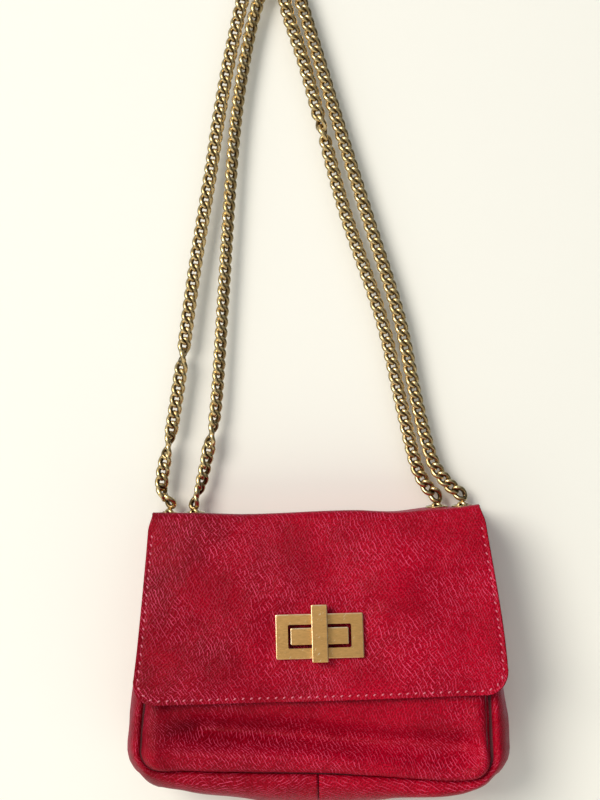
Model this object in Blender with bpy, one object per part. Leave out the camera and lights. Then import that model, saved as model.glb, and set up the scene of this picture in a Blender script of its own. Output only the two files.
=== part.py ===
"""Small leather shoulder bag with a turn-lock flap, hanging by its doubled chain strap.

Lengths are in metres and +Z is up. The bag's front faces -Y. The world origin is the point where a
hook or a hand holds the strap. Pieces are modelled in the bag's own frame, whose origin lies on top
of the yoke, midway between the eyelets, and are then hung on the empty of the body that carries them.
"""
import math

import bmesh
import bpy
from mathutils import Vector

MM = 0.001
DEGREE = math.pi / 180

# Sheet materials and the gaps between pieces
LEATHER = 1.6 * MM
PANEL_LEATHER = 1.8 * MM
FACING_LEATHER = 1.2 * MM
LINING = 0.8 * MM
GAP = 0.3 * MM
RUNNING_GAP = 0.1 * MM
CUT_OVERRUN = 2 * MM
SEAM_GAP = GAP

# Bag body
BODY_TOP_HALF_WIDTH = 86 * MM
BODY_BOTTOM_HALF_WIDTH = 90.5 * MM
PANEL_HEIGHT = 131 * MM
PANEL_CORNER = 10 * MM
BACK_DEPTH = 8 * MM
FRONT_DEPTH = 24.2 * MM
FRONT_LEAN = 8.5 * DEGREE
PANEL_PUFF = 1.8 * MM
SIDE_TOP_BULGE = 1.5 * MM
SIDE_BULGE = 9 * MM
CORNER_BULGE = 7.5 * MM
BASE_END_BULGE = 11.5 * MM
BASE_BULGE = 19 * MM
BASE_FLAT_HALF_LENGTH = 50 * MM
BOARD_LENGTH = 98 * MM
BOARD_WIDTH = 28 * MM
BOARD_THICKNESS = 2 * MM
FACING_HEIGHT = 22 * MM
POCKET_WIDTH = 120 * MM
POCKET_HEIGHT = 70 * MM
POCKET_TOP = 42 * MM

# Yoke, the fixed strip along the top that carries the eyelets
YOKE_OVERHANG = 1.5 * MM
YOKE_FRONT = 6.6 * MM

# Flap
FLAP_TOP_OVERHANG = 1 * MM
FLAP_BOTTOM_HALF_WIDTH = 95.5 * MM
FLAP_DROP = 92.8 * MM
FLAP_CORNER = 12.5 * MM
FLAP_BEND = 5 * MM
FOLD_RISE = 2.6 * MM
FLAP_FOLD_LAND = 0.5 * MM
FLAP_LINING_MARGIN = 1 * MM
LOCK_HEAD_ROOM = 0.4 * MM

# Turn lock
LOCK_DROP = 61.4 * MM
PLATE_WIDTH = 45 * MM
PLATE_HEIGHT = 22.7 * MM
PLATE_THICKNESS = 2 * MM
PLATE_CORNER = 0.7 * MM
PLATE_EDGE = 0.5 * MM
SLOT_WIDTH = 32.4 * MM
SLOT_HEIGHT = 12 * MM
SLOT_CORNER = 0.8 * MM
BACKING_THICKNESS = 0.8 * MM
LOCK_BASE_WIDTH = 29.8 * MM
LOCK_BASE_HEIGHT = 8.6 * MM
LOCK_BASE_CORNER = 0.7 * MM
LOCK_BASE_EDGE = 0.4 * MM
TOGGLE_LENGTH = 29 * MM
TOGGLE_RISE = 1.4 * MM
TOGGLE_WIDTH = 8.3 * MM
TOGGLE_THICKNESS = 4.2 * MM
TOGGLE_CORNER = 0.7 * MM
TOGGLE_EDGE = 0.5 * MM
SPINDLE_RADIUS = 1.9 * MM
SPINDLE_ENGAGEMENT = 2 * MM
CLIP_RADIUS = 3.2 * MM
CLIP_THICKNESS = 0.7 * MM
INNER_PLATE_WIDTH = 29 * MM
INNER_PLATE_HEIGHT = 9 * MM
INNER_PLATE_THICKNESS = 1.2 * MM
SCREW_RADIUS = 0.9 * MM
SCREW_HEAD_RADIUS = 1.8 * MM
SCREW_HEAD_HEIGHT = 0.6 * MM
PLATE_SCREW_DEPTH = 1.2 * MM
PLATE_SCREW_INSET = 2.7 * MM
BASE_SCREW_DEPTH = 3 * MM
BASE_SCREW_SPREAD = 21 * MM

# Chain strap and eyelets
STRAP_DROP = 282 * MM
HANG_SHIFT = 16.5 * MM
CHAIN_WIDTH = 7.6 * MM
CHAIN_THICKNESS = 4.6 * MM
CHAIN_STEP = 9 * MM
HOOK_RADIUS = 2.7 * MM
CHAIN_NEST_GAP = 0.4 * MM
INNER_EYELET_INSET = 20.2 * MM
OUTER_EYELET_INSET = 6.4 * MM
EYELET_BORE_GAP = 0.4 * MM
EYELET_WALL = 0.5 * MM
EYELET_FLANGE = 1.3 * MM
EYELET_RISE = 0.9 * MM
EYELET_ROUND = 0.35 * MM
WASHER_WIDTH = 0.9 * MM
WASHER_THICKNESS = 0.8 * MM
LIP_WIDTH = 0.7 * MM
LIP_THICKNESS = 0.5 * MM
INSIDE_LOOP_DROP = 3 * MM

# How each strand runs from its eyelet to the turn over the hook: the share of the rise, and the share
# of the way across, hand-picked so that the strands hang as a doubled chain does
LEFT_OUTER_SHARES = (
    (0.012, 0.01), (0.026, -0.06), (0.048, -0.07), (0.082, -0.04), (0.15, 0.05),
    (0.26, 0.165), (0.45, 0.34), (0.64, 0.545), (0.755, 0.66), (0.865, 0.79), (0.975, 0.945))
LEFT_INNER_SHARES = (
    (0.012, 0.01), (0.035, 0.07), (0.06, 0.12), (0.12, 0.21), (0.2, 0.31),
    (0.4, 0.43), (0.65, 0.575), (0.79, 0.685), (0.92, 0.85))
RIGHT_INNER_SHARES = (
    (0.012, 0.01), (0.03, 0.07), (0.06, 0.125), (0.1, 0.165), (0.2, 0.24),
    (0.36, 0.36), (0.57, 0.6), (0.72, 0.735), (0.86, 0.86), (0.955, 0.965))
RIGHT_OUTER_SHARES = (
    (0.012, 0.01), (0.03, 0.08), (0.06, 0.16), (0.1, 0.21), (0.2, 0.285),
    (0.36, 0.385), (0.55, 0.57), (0.72, 0.735), (0.86, 0.865), (0.955, 0.955))
INNER_TURN_START = 15 * DEGREE
OUTER_TURN_START = 24 * DEGREE

# How the gusset swells between its two seams: the share of the depth and the share of the bulge
GUSSET_SWELL_SHARES = (
    (0, 0), (0.045, 0.4), (0.12, 0.68), (0.24, 0.9), (0.38, 1),
    (0.62, 1), (0.76, 0.9), (0.88, 0.68), (0.955, 0.4), (1, 0))

# How finely curved shapes are divided
SIDE_ROWS = 6
CORNER_STEPS = 6
BASE_CURVE_ROWS = 4
SPINE_ROWS = 6
PANEL_COLUMNS = 12
FLAT_COLUMNS = 4
FLAP_ROWS = 6
FOLD_STEPS = 5
CHAIN_SIDES = 8
TURN_STEPS = 10
CURVE_SAMPLES = 6
CHAIN_CAP_RINGS = 2
PUFF_POWER = 4
ROUND_SEGMENTS = 24
SMALL_ROUND_SEGMENTS = 16
CORNER_SEGMENTS = 4
SHARP_ANGLE = 35 * DEGREE

# Colours, as red, green, blue, then roughness and metallic
RED_LEATHER = ((0.36, 0.012, 0.035), 0.42, 0.0)
DARK_LEATHER = ((0.25, 0.01, 0.03), 0.5, 0.0)
CLOTH = ((0.22, 0.03, 0.045), 0.85, 0.0)
BOARD = ((0.25, 0.2, 0.15), 0.9, 0.0)
BRUSHED_GOLD = ((0.64, 0.44, 0.22), 0.38, 1.0)
CHAIN_GOLD = ((0.56, 0.43, 0.22), 0.3, 1.0)
STEEL = ((0.5, 0.48, 0.45), 0.4, 1.0)

# Places worked out from the sizes above
YOKE_HALF_WIDTH = BODY_TOP_HALF_WIDTH + YOKE_OVERHANG
FLAP_TOP_HALF_WIDTH = BODY_TOP_HALF_WIDTH + FLAP_TOP_OVERHANG
INNER_EYELET_X = BODY_TOP_HALF_WIDTH - INNER_EYELET_INSET
OUTER_EYELET_X = BODY_TOP_HALF_WIDTH - OUTER_EYELET_INSET
FRONT_SLOPE = math.tan(FRONT_LEAN)
LEAN_STRETCH = 1 / math.cos(FRONT_LEAN)
CORNER_TOP = PANEL_HEIGHT - PANEL_CORNER
YOKE_UNDERSIDE = LEATHER + GAP + LINING
EYELET_BORE = CHAIN_WIDTH / 2 + EYELET_BORE_GAP
EYELET_BARREL = EYELET_BORE + EYELET_WALL
EYELET_RADIUS = EYELET_BARREL + EYELET_FLANGE
EYELET_TOP = GAP + EYELET_RISE
WASHER_TOP = YOKE_UNDERSIDE + GAP
LIP_TOP = WASHER_TOP + WASHER_THICKNESS + GAP
EYELET_BOTTOM = LIP_TOP + LIP_THICKNESS
BELOW_EYELETS = EYELET_BOTTOM + GAP
PIVOT_HEIGHT = EYELET_TOP + GAP + CHAIN_THICKNESS / 2
FRONT_INNER = PANEL_LEATHER + GAP
SPINE_BACK = YOKE_FRONT + SEAM_GAP
FLAP_OUT = (PANEL_PUFF + LOCK_HEAD_ROOM + SCREW_HEAD_HEIGHT + GAP
            + BACKING_THICKNESS + GAP + LEATHER)
FLAP_PLANE_DEPTH = FRONT_DEPTH + FLAP_OUT * LEAN_STRETCH
FOLD_CENTRE_DOWN = FLAP_BEND - FOLD_RISE
FOLD_CENTRE_DEPTH = FLAP_PLANE_DEPTH + FOLD_CENTRE_DOWN * FRONT_SLOPE - FLAP_BEND * LEAN_STRETCH
SPINE_FRONT = FOLD_CENTRE_DEPTH - FLAP_FOLD_LAND
FLAP_FRONT_BACK = SPINE_FRONT + SEAM_GAP
SPINE_HINGE_DEPTH = YOKE_FRONT + SEAM_GAP / 2
FOLD_HINGE_DEPTH = SPINE_FRONT + SEAM_GAP / 2
PLATE_BACK = GAP
PLATE_FRONT = PLATE_BACK + PLATE_THICKNESS
BASE_FRONT = PLATE_FRONT - GAP
BASE_BACK = PANEL_PUFF + GAP - FLAP_OUT
TOGGLE_BACK = PLATE_FRONT + GAP
TOGGLE_FRONT = TOGGLE_BACK + TOGGLE_THICKNESS
BORE_RADIUS = SPINDLE_RADIUS + RUNNING_GAP
CLIP_BACK = BASE_BACK + GAP
CLIP_FRONT = CLIP_BACK + CLIP_THICKNESS
RECESS_RADIUS = CLIP_RADIUS + GAP
BACKING_FRONT = -LEATHER - GAP
BACKING_BACK = BACKING_FRONT - BACKING_THICKNESS
PLATE_SCREW_X = PLATE_WIDTH / 2 - PLATE_SCREW_INSET
PLATE_SCREW_Z = PLATE_HEIGHT / 2 - PLATE_SCREW_INSET
INNER_PLATE_FRONT = PANEL_PUFF - FLAP_OUT - FRONT_INNER - LINING - GAP
INNER_PLATE_BACK = INNER_PLATE_FRONT - INNER_PLATE_THICKNESS
UP = Vector((0, 0, 1))
HANG_CENTRE = Vector((-HANG_SHIFT, 0, STRAP_DROP - HOOK_RADIUS))
INNER_TURN_RADIUS = HOOK_RADIUS + CHAIN_WIDTH / 2
OUTER_TURN_RADIUS = INNER_TURN_RADIUS + CHAIN_WIDTH + CHAIN_NEST_GAP
BACK_INNER = BACK_DEPTH - PANEL_LEATHER - GAP
LINING_INSET = LEATHER + GAP
PANEL_LINING_INSET = LEATHER + LINING + SEAM_GAP


def clear_scene():
    """Remove whatever objects the file holds."""
    for thing in list(bpy.data.objects):
        bpy.data.objects.remove(thing, do_unlink=True)


def make_material(name, finish):
    """Give a piece its colour, roughness and metallic value."""
    colour, roughness, metallic = finish
    material = bpy.data.materials.new(name)
    material.use_nodes = True
    shader = material.node_tree.nodes["Principled BSDF"]
    shader.inputs["Base Color"].default_value = (*colour, 1)
    shader.inputs["Roughness"].default_value = roughness
    shader.inputs["Metallic"].default_value = metallic
    return material


class Body:
    """A group of pieces that move together, carried by an empty on its joint's axis."""

    def __init__(self, name, place, parent=None):
        self.place = Vector(place)
        self.empty = bpy.data.objects.new(name, None)
        bpy.context.collection.objects.link(self.empty)
        if parent:
            self.empty.parent = parent.empty
            self.empty.location = self.place - parent.place

    def carry(self, piece):
        """Hang a piece, placed in the bag's frame, on this body's empty."""
        piece.parent = self.empty
        piece.location = Vector(piece.location) - self.place


def add_object(name, bm, body, finish=None):
    """Turn a finished bmesh into a named object of a body, or into a cutter without a finish."""
    mesh = bpy.data.meshes.new(name)
    bmesh.ops.recalc_face_normals(bm, faces=bm.faces)
    bm.to_mesh(mesh)
    bm.free()
    mesh.shade_smooth()
    mesh.set_sharp_from_angle(angle=SHARP_ANGLE)
    piece = bpy.data.objects.new(name, mesh)
    bpy.context.collection.objects.link(piece)
    if finish:
        mesh.materials.append(make_material(name, finish))
    else:
        piece.hide_render = True
        piece.display_type = "WIRE"
    body.carry(piece)
    return piece


def lean_with_front(piece, body, drop):
    """Move a piece to the lock's frame, on the flap's outer face and leaning with it."""
    piece.rotation_euler = (-FRONT_LEAN, 0, 0)
    piece.location = front_place(drop) - body.place
    return piece


def front_place(drop):
    """Give the point of the flap's outer plane at a distance down it."""
    down = drop * math.cos(FRONT_LEAN)
    return Vector((0, -(FLAP_PLANE_DEPTH + down * FRONT_SLOPE), -down))


def cut(piece, cutter):
    """Cut a piece with a closed cutter."""
    boolean = piece.modifiers.new("cut by " + cutter.name, "BOOLEAN")
    boolean.operation = "DIFFERENCE"
    boolean.solver = "EXACT"
    boolean.object = cutter


def round_edges(piece, width):
    """Break the hard edges of a metal piece."""
    bevel = piece.modifiers.new("edges", "BEVEL")
    bevel.width = width
    bevel.segments = 2
    bevel.limit_method = "ANGLE"
    bevel.angle_limit = SHARP_ANGLE


def sheet(name, rows, thickness, outward, body, finish):
    """Make a closed sheet behind a surface given as rows of points.

    outward says which way the first patch of the surface faces.
    """
    bm = bmesh.new()
    grid = [[bm.verts.new(point) for point in row] for row in rows]
    for row, next_row in zip(grid, grid[1:]):
        for corners in zip(row, row[1:], next_row[1:], next_row):
            bm.faces.new(corners)
    bm.normal_update()
    bm.faces.ensure_lookup_table()
    facing_away = bm.faces[0].normal.dot(Vector(outward)) < 0
    if facing_away:
        bmesh.ops.reverse_faces(bm, faces=bm.faces)
    mesh = bpy.data.meshes.new(name)
    bm.to_mesh(mesh)
    bm.free()
    mesh.shade_smooth()
    mesh.materials.append(make_material(name, finish))
    piece = bpy.data.objects.new(name, mesh)
    bpy.context.collection.objects.link(piece)
    body.carry(piece)
    solidify = piece.modifiers.new("thickness", "SOLIDIFY")
    solidify.thickness = thickness
    solidify.offset = -1
    solidify.use_even_offset = True
    return piece


def shares(count):
    """Give evenly spaced shares from 0 to 1."""
    return [index / count for index in range(count + 1)]


def blend(low, high, share):
    """Give the value a share of the way from low to high."""
    return low + (high - low) * share


def rounded_outline(width, height, corner):
    """Give the points of a rectangle with round corners, about its centre."""
    points = []
    for quarter, (side, rise) in enumerate(((1, 1), (-1, 1), (-1, -1), (1, -1))):
        centre_x = side * (width / 2 - corner)
        centre_z = rise * (height / 2 - corner)
        for share in shares(CORNER_SEGMENTS):
            angle = (quarter + share) * math.pi / 2
            points.append((centre_x + corner * math.cos(angle), centre_z + corner * math.sin(angle)))
    return points


def block(outline, front, back):
    """Make a slab with the given outline, between two distances out from the flap."""
    bm = bmesh.new()
    verts = [bm.verts.new((x, -back, z)) for x, z in outline]
    face = bm.faces.new(verts)
    result = bmesh.ops.extrude_face_region(bm, geom=[face])
    moved = [item for item in result["geom"] if isinstance(item, bmesh.types.BMVert)]
    bmesh.ops.translate(bm, verts=moved, vec=(0, back - front, 0))
    return bm


def turned(profile, segments, axis="Z", closed=False):
    """Turn a profile of (radius, height) points round the Z axis, or round the way out of the flap.

    A closed profile makes a ring. An open one starts and ends on the axis.
    """
    bm = bmesh.new()
    rings = []
    for radius, height in profile:
        count = segments if radius > 0 else 1
        ring = []
        for index in range(count):
            angle = 2 * math.pi * index / segments
            across = radius * math.cos(angle)
            along = radius * math.sin(angle)
            place = (across, along, height) if axis == "Z" else (across, -height, along)
            ring.append(bm.verts.new(place))
        rings.append(ring)
    following = rings[1:] + rings[:1] if closed else rings[1:]
    for ring, next_ring in zip(rings, following):
        for index in range(segments):
            after = (index + 1) % segments
            corners = [ring[index % len(ring)], ring[after % len(ring)],
                       next_ring[after % len(next_ring)], next_ring[index % len(next_ring)]]
            bm.faces.new(list(dict.fromkeys(corners)))
    return bm


def rod(radius, low, high):
    """Give the open profile of a plain round rod."""
    return ((0, low), (radius, low), (radius, high), (0, high))


def shift(bm, x=0, y=0, z=0):
    """Move the whole of a bmesh."""
    bmesh.ops.translate(bm, verts=bm.verts, vec=(x, y, z))
    return bm


# Bag body

def half_width(depth_down, inset=0):
    """Give the panels' half-width at a distance below the yoke's top."""
    share = min(depth_down, CORNER_TOP) / CORNER_TOP
    side = blend(BODY_TOP_HALF_WIDTH, BODY_BOTTOM_HALF_WIDTH, share) - inset
    if depth_down <= CORNER_TOP:
        return side
    radius = PANEL_CORNER - inset
    fall = min(depth_down - CORNER_TOP, radius)
    return side - radius + math.sqrt(radius * radius - fall * fall)


def panel_levels(top, inset=0):
    """Give the distances below the yoke's top of the panel's rows of points."""
    levels = [blend(top, CORNER_TOP, share) for share in shares(SIDE_ROWS)]
    radius = PANEL_CORNER - inset
    for share in shares(CORNER_STEPS)[1:]:
        levels.append(CORNER_TOP + radius * math.sin(share * math.pi / 2))
    return levels


def puff(x, down):
    """Give how far the stuffed front panel swells at a place."""
    across_share = min(abs(x) / BODY_BOTTOM_HALF_WIDTH, 1)
    down_share = min(abs(2 * down / PANEL_HEIGHT - 1), 1)
    return PANEL_PUFF * (1 - across_share ** PUFF_POWER) * (1 - down_share ** PUFF_POWER)


def front_depth(x, down, inset=0):
    """Give how far in front of the eyelets the front panel's face lies, or a face behind it."""
    return FRONT_DEPTH + down * FRONT_SLOPE + puff(x, down) - inset * LEAN_STRETCH


def front_rows(top, inset, edge_inset, bottom=None):
    """Give rows of points on the front panel's face, or on a face behind it."""
    levels = panel_levels(top, edge_inset)
    if bottom:
        levels = [blend(top, bottom, share) for share in shares(2)]
    rows = []
    for down in levels:
        reach = half_width(down, edge_inset)
        xs = [reach * (2 * share - 1) for share in shares(PANEL_COLUMNS)]
        rows.append([(x, -front_depth(x, down, inset), -down) for x in xs])
    return rows


def back_rows(top, depth, edge_inset):
    """Give rows of points on a flat face of the back."""
    rows = []
    for down in panel_levels(top, edge_inset):
        reach = half_width(down, edge_inset)
        rows.append([(reach * (2 * share - 1), depth, -down) for share in shares(FLAT_COLUMNS)])
    return rows


def make_panels(bag):
    """Make the front and back panels with their linings, the facing and the slip pocket."""
    front_top = YOKE_UNDERSIDE + SEAM_GAP + GAP
    front = sheet("front_panel", front_rows(front_top, 0, 0), PANEL_LEATHER, (0, -1, 0), bag, RED_LEATHER)
    sheet("back_panel", back_rows(LEATHER + GAP, BACK_DEPTH, 0), PANEL_LEATHER, (0, 1, 0), bag, RED_LEATHER)
    facing_bottom = front_top + FACING_HEIGHT
    facing_rows = front_rows(front_top, FRONT_INNER, PANEL_LINING_INSET, facing_bottom)
    sheet("front_facing", facing_rows, FACING_LEATHER, (0, -1, 0), bag, DARK_LEATHER)
    lining_rows = front_rows(facing_bottom + SEAM_GAP, FRONT_INNER, PANEL_LINING_INSET)
    lining = sheet("lining_front", lining_rows, LINING, (0, -1, 0), bag, CLOTH)
    back_lining_rows = back_rows(BELOW_EYELETS, BACK_INNER, PANEL_LINING_INSET)
    sheet("lining_back", back_lining_rows, LINING, (0, 1, 0), bag, CLOTH)
    pocket_depth = BACK_INNER - LINING - GAP
    pocket_rows = []
    for down in (POCKET_TOP, POCKET_TOP + POCKET_HEIGHT):
        xs = [POCKET_WIDTH * (share - 1 / 2) for share in shares(2)]
        pocket_rows.append([(x, pocket_depth, -down) for x in xs])
    sheet("inner_pocket", pocket_rows, LINING, (0, 1, 0), bag, CLOTH)
    return front, lining


def outline_stations(top, inset, seam):
    """Follow one side of the panels' outline from the top to the seam under the bag.

    Each station is a point, the way out from it and how far the gusset swells there.
    """
    stations = []
    for share in shares(SIDE_ROWS):
        down = blend(top, CORNER_TOP, share)
        bulge = blend(SIDE_TOP_BULGE, SIDE_BULGE, math.sin(down / CORNER_TOP * math.pi / 2))
        stations.append((half_width(down, inset), down, 1, 0, bulge))
    corner_x = BODY_BOTTOM_HALF_WIDTH - PANEL_CORNER
    radius = PANEL_CORNER - inset
    for share in shares(CORNER_STEPS)[1:]:
        angle = share * math.pi / 2
        out_x = math.cos(angle)
        out_down = math.sin(angle)
        bulge = corner_bulge(share)
        place = (corner_x + radius * out_x, CORNER_TOP + radius * out_down)
        stations.append((*place, out_x, out_down, bulge))
    for share in shares(BASE_CURVE_ROWS)[1:]:
        x = blend(corner_x, BASE_FLAT_HALF_LENGTH, share)
        rest = 1 - share
        bulge = blend(BASE_BULGE, BASE_END_BULGE, rest * rest)
        stations.append((x, PANEL_HEIGHT - inset, 0, 1, bulge))
    stations.append((seam, PANEL_HEIGHT - inset, 0, 1, BASE_BULGE))
    return stations


def corner_bulge(share):
    """Give the gusset's swell a share of the way round the corner, where the leather is tightest."""
    if share < 1 / 2:
        return blend(SIDE_BULGE, CORNER_BULGE, 2 * share)
    return blend(CORNER_BULGE, BASE_END_BULGE, 2 * share - 1)


def gusset_rows(side, top, inset, seam):
    """Give rows of points across the gusset's outer face on one side of the bag."""
    rows = []
    back = BACK_INNER - inset
    for x, down, out_x, out_down, bulge in outline_stations(top, inset, seam):
        front = -(FRONT_DEPTH + down * FRONT_SLOPE) + (FRONT_INNER + inset) * LEAN_STRETCH
        row = []
        for depth_share, bulge_share in GUSSET_SWELL_SHARES:
            swell = bulge * bulge_share
            place = (side * (x + swell * out_x), blend(back, front, depth_share), -(down + swell * out_down))
            row.append(place)
        rows.append(row)
    return rows


def swell_share(depth_share):
    """Give the share of the gusset's bulge at a share of its depth."""
    for (start, low), (end, high) in zip(GUSSET_SWELL_SHARES, GUSSET_SWELL_SHARES[1:]):
        if depth_share <= end:
            return blend(low, high, (depth_share - start) / (end - start))
    return 0


def make_base_board(bag):
    """Make the stiffener, which lies across the lining's trough with its long edges on the cloth."""
    back = BACK_INNER - LINING_INSET
    front = -(FRONT_DEPTH + PANEL_HEIGHT * FRONT_SLOPE) + (FRONT_INNER + LINING_INSET) * LEAN_STRETCH
    edge_share = (1 - BOARD_WIDTH / (back - front)) / 2
    trough = PANEL_HEIGHT - LINING_INSET + BASE_BULGE * swell_share(edge_share)
    bottom = trough - LINING - 2 * GAP
    bm = bmesh.new()
    bmesh.ops.create_cube(bm, size=1)
    bmesh.ops.scale(bm, verts=bm.verts, vec=(BOARD_LENGTH, BOARD_WIDTH, BOARD_THICKNESS))
    shift(bm, y=(back + front) / 2, z=BOARD_THICKNESS / 2 - bottom)
    add_object("base_board", bm, bag, BOARD)


def make_gussets(bag):
    """Make the two gussets, which meet at a seam under the bag, and their lining."""
    for name, side in (("gusset_left", -1), ("gusset_right", 1)):
        rows = gusset_rows(side, BELOW_EYELETS, 0, SEAM_GAP / 2)
        sheet(name, rows, LEATHER, (side, 0, 0), bag, RED_LEATHER)
    left_rows = gusset_rows(-1, BELOW_EYELETS, LINING_INSET, 0)
    right_rows = gusset_rows(1, BELOW_EYELETS, LINING_INSET, 0)
    lining_rows = left_rows + right_rows[-2::-1]
    sheet("lining_gusset", lining_rows, LINING, (-1, 0, 0), bag, CLOTH)


# Yoke, eyelets and flap

def level_rows(half, back, front, depth):
    """Give two rows of points across a level strip, from its back edge to its front edge."""
    return [[(half * (2 * share - 1), y, -depth) for share in shares(FLAT_COLUMNS)] for y in (back, front)]


def make_yoke(bag):
    """Make the fixed top strip and its lining, with holes for the four eyelets."""
    top_rows = level_rows(YOKE_HALF_WIDTH, BACK_DEPTH, -YOKE_FRONT, 0)
    yoke = sheet("yoke", top_rows, LEATHER, (0, 0, 1), bag, RED_LEATHER)
    lining_half = BODY_TOP_HALF_WIDTH
    lining_rows = level_rows(lining_half, BACK_INNER, -YOKE_FRONT, LEATHER + GAP)
    lining = sheet("yoke_lining", lining_rows, LINING, (0, 0, 1), bag, CLOTH)
    bm = bmesh.new()
    for x in (-OUTER_EYELET_X, -INNER_EYELET_X, INNER_EYELET_X, OUTER_EYELET_X):
        hole = turned(rod(EYELET_BARREL + GAP, -YOKE_UNDERSIDE - CUT_OVERRUN, CUT_OVERRUN), ROUND_SEGMENTS)
        shift(hole, x=x)
        mesh = bpy.data.meshes.new("hole")
        hole.to_mesh(mesh)
        hole.free()
        bm.from_mesh(mesh)
        bpy.data.meshes.remove(mesh)
    cutter = add_object("eyelet_hole_cutter", bm, bag)
    cut(yoke, cutter)
    cut(lining, cutter)


def eyelet_profile():
    """Give the closed profile of an eyelet: flange above, barrel, and rolled lip below."""
    lip = EYELET_BARREL + LIP_WIDTH
    return (
        (EYELET_BORE, EYELET_TOP - EYELET_ROUND),
        (EYELET_BORE + EYELET_ROUND, EYELET_TOP),
        (EYELET_RADIUS - EYELET_ROUND, EYELET_TOP),
        (EYELET_RADIUS, EYELET_TOP - EYELET_ROUND),
        (EYELET_RADIUS, GAP),
        (EYELET_BARREL, GAP),
        (EYELET_BARREL, -LIP_TOP),
        (lip, -LIP_TOP),
        (lip, -EYELET_BOTTOM),
        (EYELET_BORE, -EYELET_BOTTOM))


def make_eyelets(bag):
    """Make the four eyelets and the washers that they are rolled over."""
    inner = EYELET_BARREL + RUNNING_GAP
    outer = inner + WASHER_WIDTH
    low = -WASHER_TOP - WASHER_THICKNESS
    washer_profile = ((inner, -WASHER_TOP), (outer, -WASHER_TOP), (outer, low), (inner, low))
    places = (("left_outer", -OUTER_EYELET_X), ("left_inner", -INNER_EYELET_X),
              ("right_inner", INNER_EYELET_X), ("right_outer", OUTER_EYELET_X))
    for name, x in places:
        eyelet = shift(turned(eyelet_profile(), ROUND_SEGMENTS, closed=True), x=x)
        add_object("eyelet_" + name, eyelet, bag, CHAIN_GOLD)
        washer = shift(turned(washer_profile, ROUND_SEGMENTS, closed=True), x=x)
        add_object("eyelet_washer_" + name, washer, bag, STEEL)


def spine_rows(half, inset):
    """Give rows of points over the flap's spine, which rises gently from the yoke to the fold."""
    rows = []
    for share in shares(SPINE_ROWS):
        depth = blend(SPINE_BACK, SPINE_FRONT, share)
        rise = FOLD_RISE * (1 - math.cos(share * math.pi)) / 2
        rows.append([(half * (2 * step - 1), -depth, rise - inset) for step in shares(FLAT_COLUMNS)])
    return rows


def make_flap_spine(spine):
    """Make the upper part of the flap, between the yoke and the front fold."""
    half = FLAP_TOP_HALF_WIDTH
    sheet("flap_spine", spine_rows(half, 0), LEATHER, (0, 0, 1), spine, RED_LEATHER)
    lining_rows = spine_rows(half - FLAP_LINING_MARGIN, LEATHER + GAP)
    sheet("flap_spine_lining", lining_rows, LINING, (0, 0, 1), spine, DARK_LEATHER)


def flap_half_width(down, margin):
    """Give the flap's half-width at a distance below the yoke's top."""
    side = blend(FLAP_TOP_HALF_WIDTH, FLAP_BOTTOM_HALF_WIDTH, down / FLAP_DROP) - margin
    radius = FLAP_CORNER - margin
    fall = down - (FLAP_DROP - FLAP_CORNER)
    if fall <= 0:
        return side
    fall = min(fall, radius)
    return side - radius + math.sqrt(radius * radius - fall * fall)


def flap_rows(inset, margin):
    """Give rows of points on the flap's outer face, or on a face inside it, from the fold down."""
    profile = [(FLAP_FRONT_BACK, inset - FOLD_RISE)]
    radius = FLAP_BEND - inset
    for share in shares(FOLD_STEPS):
        angle = share * (math.pi / 2 - FRONT_LEAN)
        depth = FOLD_CENTRE_DEPTH + radius * math.sin(angle)
        profile.append((depth, FOLD_CENTRE_DOWN - radius * math.cos(angle)))
    fold_end = profile[-1][1]
    corner_top = FLAP_DROP - FLAP_CORNER
    levels = [blend(fold_end, corner_top, share) for share in shares(FLAP_ROWS)[1:]]
    for share in shares(CORNER_SEGMENTS)[1:]:
        levels.append(corner_top + (FLAP_CORNER - margin) * math.sin(share * math.pi / 2))
    for down in levels:
        profile.append((FLAP_PLANE_DEPTH + down * FRONT_SLOPE - inset * LEAN_STRETCH, down))
    rows = []
    for depth, down in profile:
        reach = flap_half_width(down, margin)
        rows.append([(reach * (2 * share - 1), -depth, -down) for share in shares(PANEL_COLUMNS)])
    return rows


def make_flap_front(flap):
    """Make the front of the flap and its lining, with the slot and the screw holes of the lock."""
    leather = sheet("flap_front", flap_rows(0, 0), LEATHER, (0, 0, 1), flap, RED_LEATHER)
    lining_rows = flap_rows(LEATHER + GAP, FLAP_LINING_MARGIN)
    lining = sheet("flap_front_lining", lining_rows, LINING, (0, 0, 1), flap, DARK_LEATHER)
    slot = rounded_outline(SLOT_WIDTH, SLOT_HEIGHT, SLOT_CORNER)
    slot_cutter = add_object("slot_cutter", block(slot, CUT_OVERRUN, -LEATHER - CUT_OVERRUN), flap)
    cut(leather, lean_with_front(slot_cutter, flap, LOCK_DROP))
    window = rounded_outline(PLATE_WIDTH + 2 * GAP, PLATE_HEIGHT + 2 * GAP, SLOT_CORNER)
    window_cutter = add_object("window_cutter", block(window, -LEATHER, BACKING_BACK - CUT_OVERRUN), flap)
    cut(lining, lean_with_front(window_cutter, flap, LOCK_DROP))
    for x, z in plate_screw_places():
        hole = turned(rod(SCREW_RADIUS + GAP, -LEATHER - CUT_OVERRUN, CUT_OVERRUN), SMALL_ROUND_SEGMENTS, "Y")
        cutter = add_object("plate_screw_hole_cutter", shift(hole, x=x, z=z), flap)
        cut(leather, lean_with_front(cutter, flap, LOCK_DROP))


# Turn lock

def plate_screw_places():
    """Give the places of the four screws, from the lock's centre."""
    return [(side * PLATE_SCREW_X, rise * PLATE_SCREW_Z) for rise in (1, -1) for side in (-1, 1)]


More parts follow.
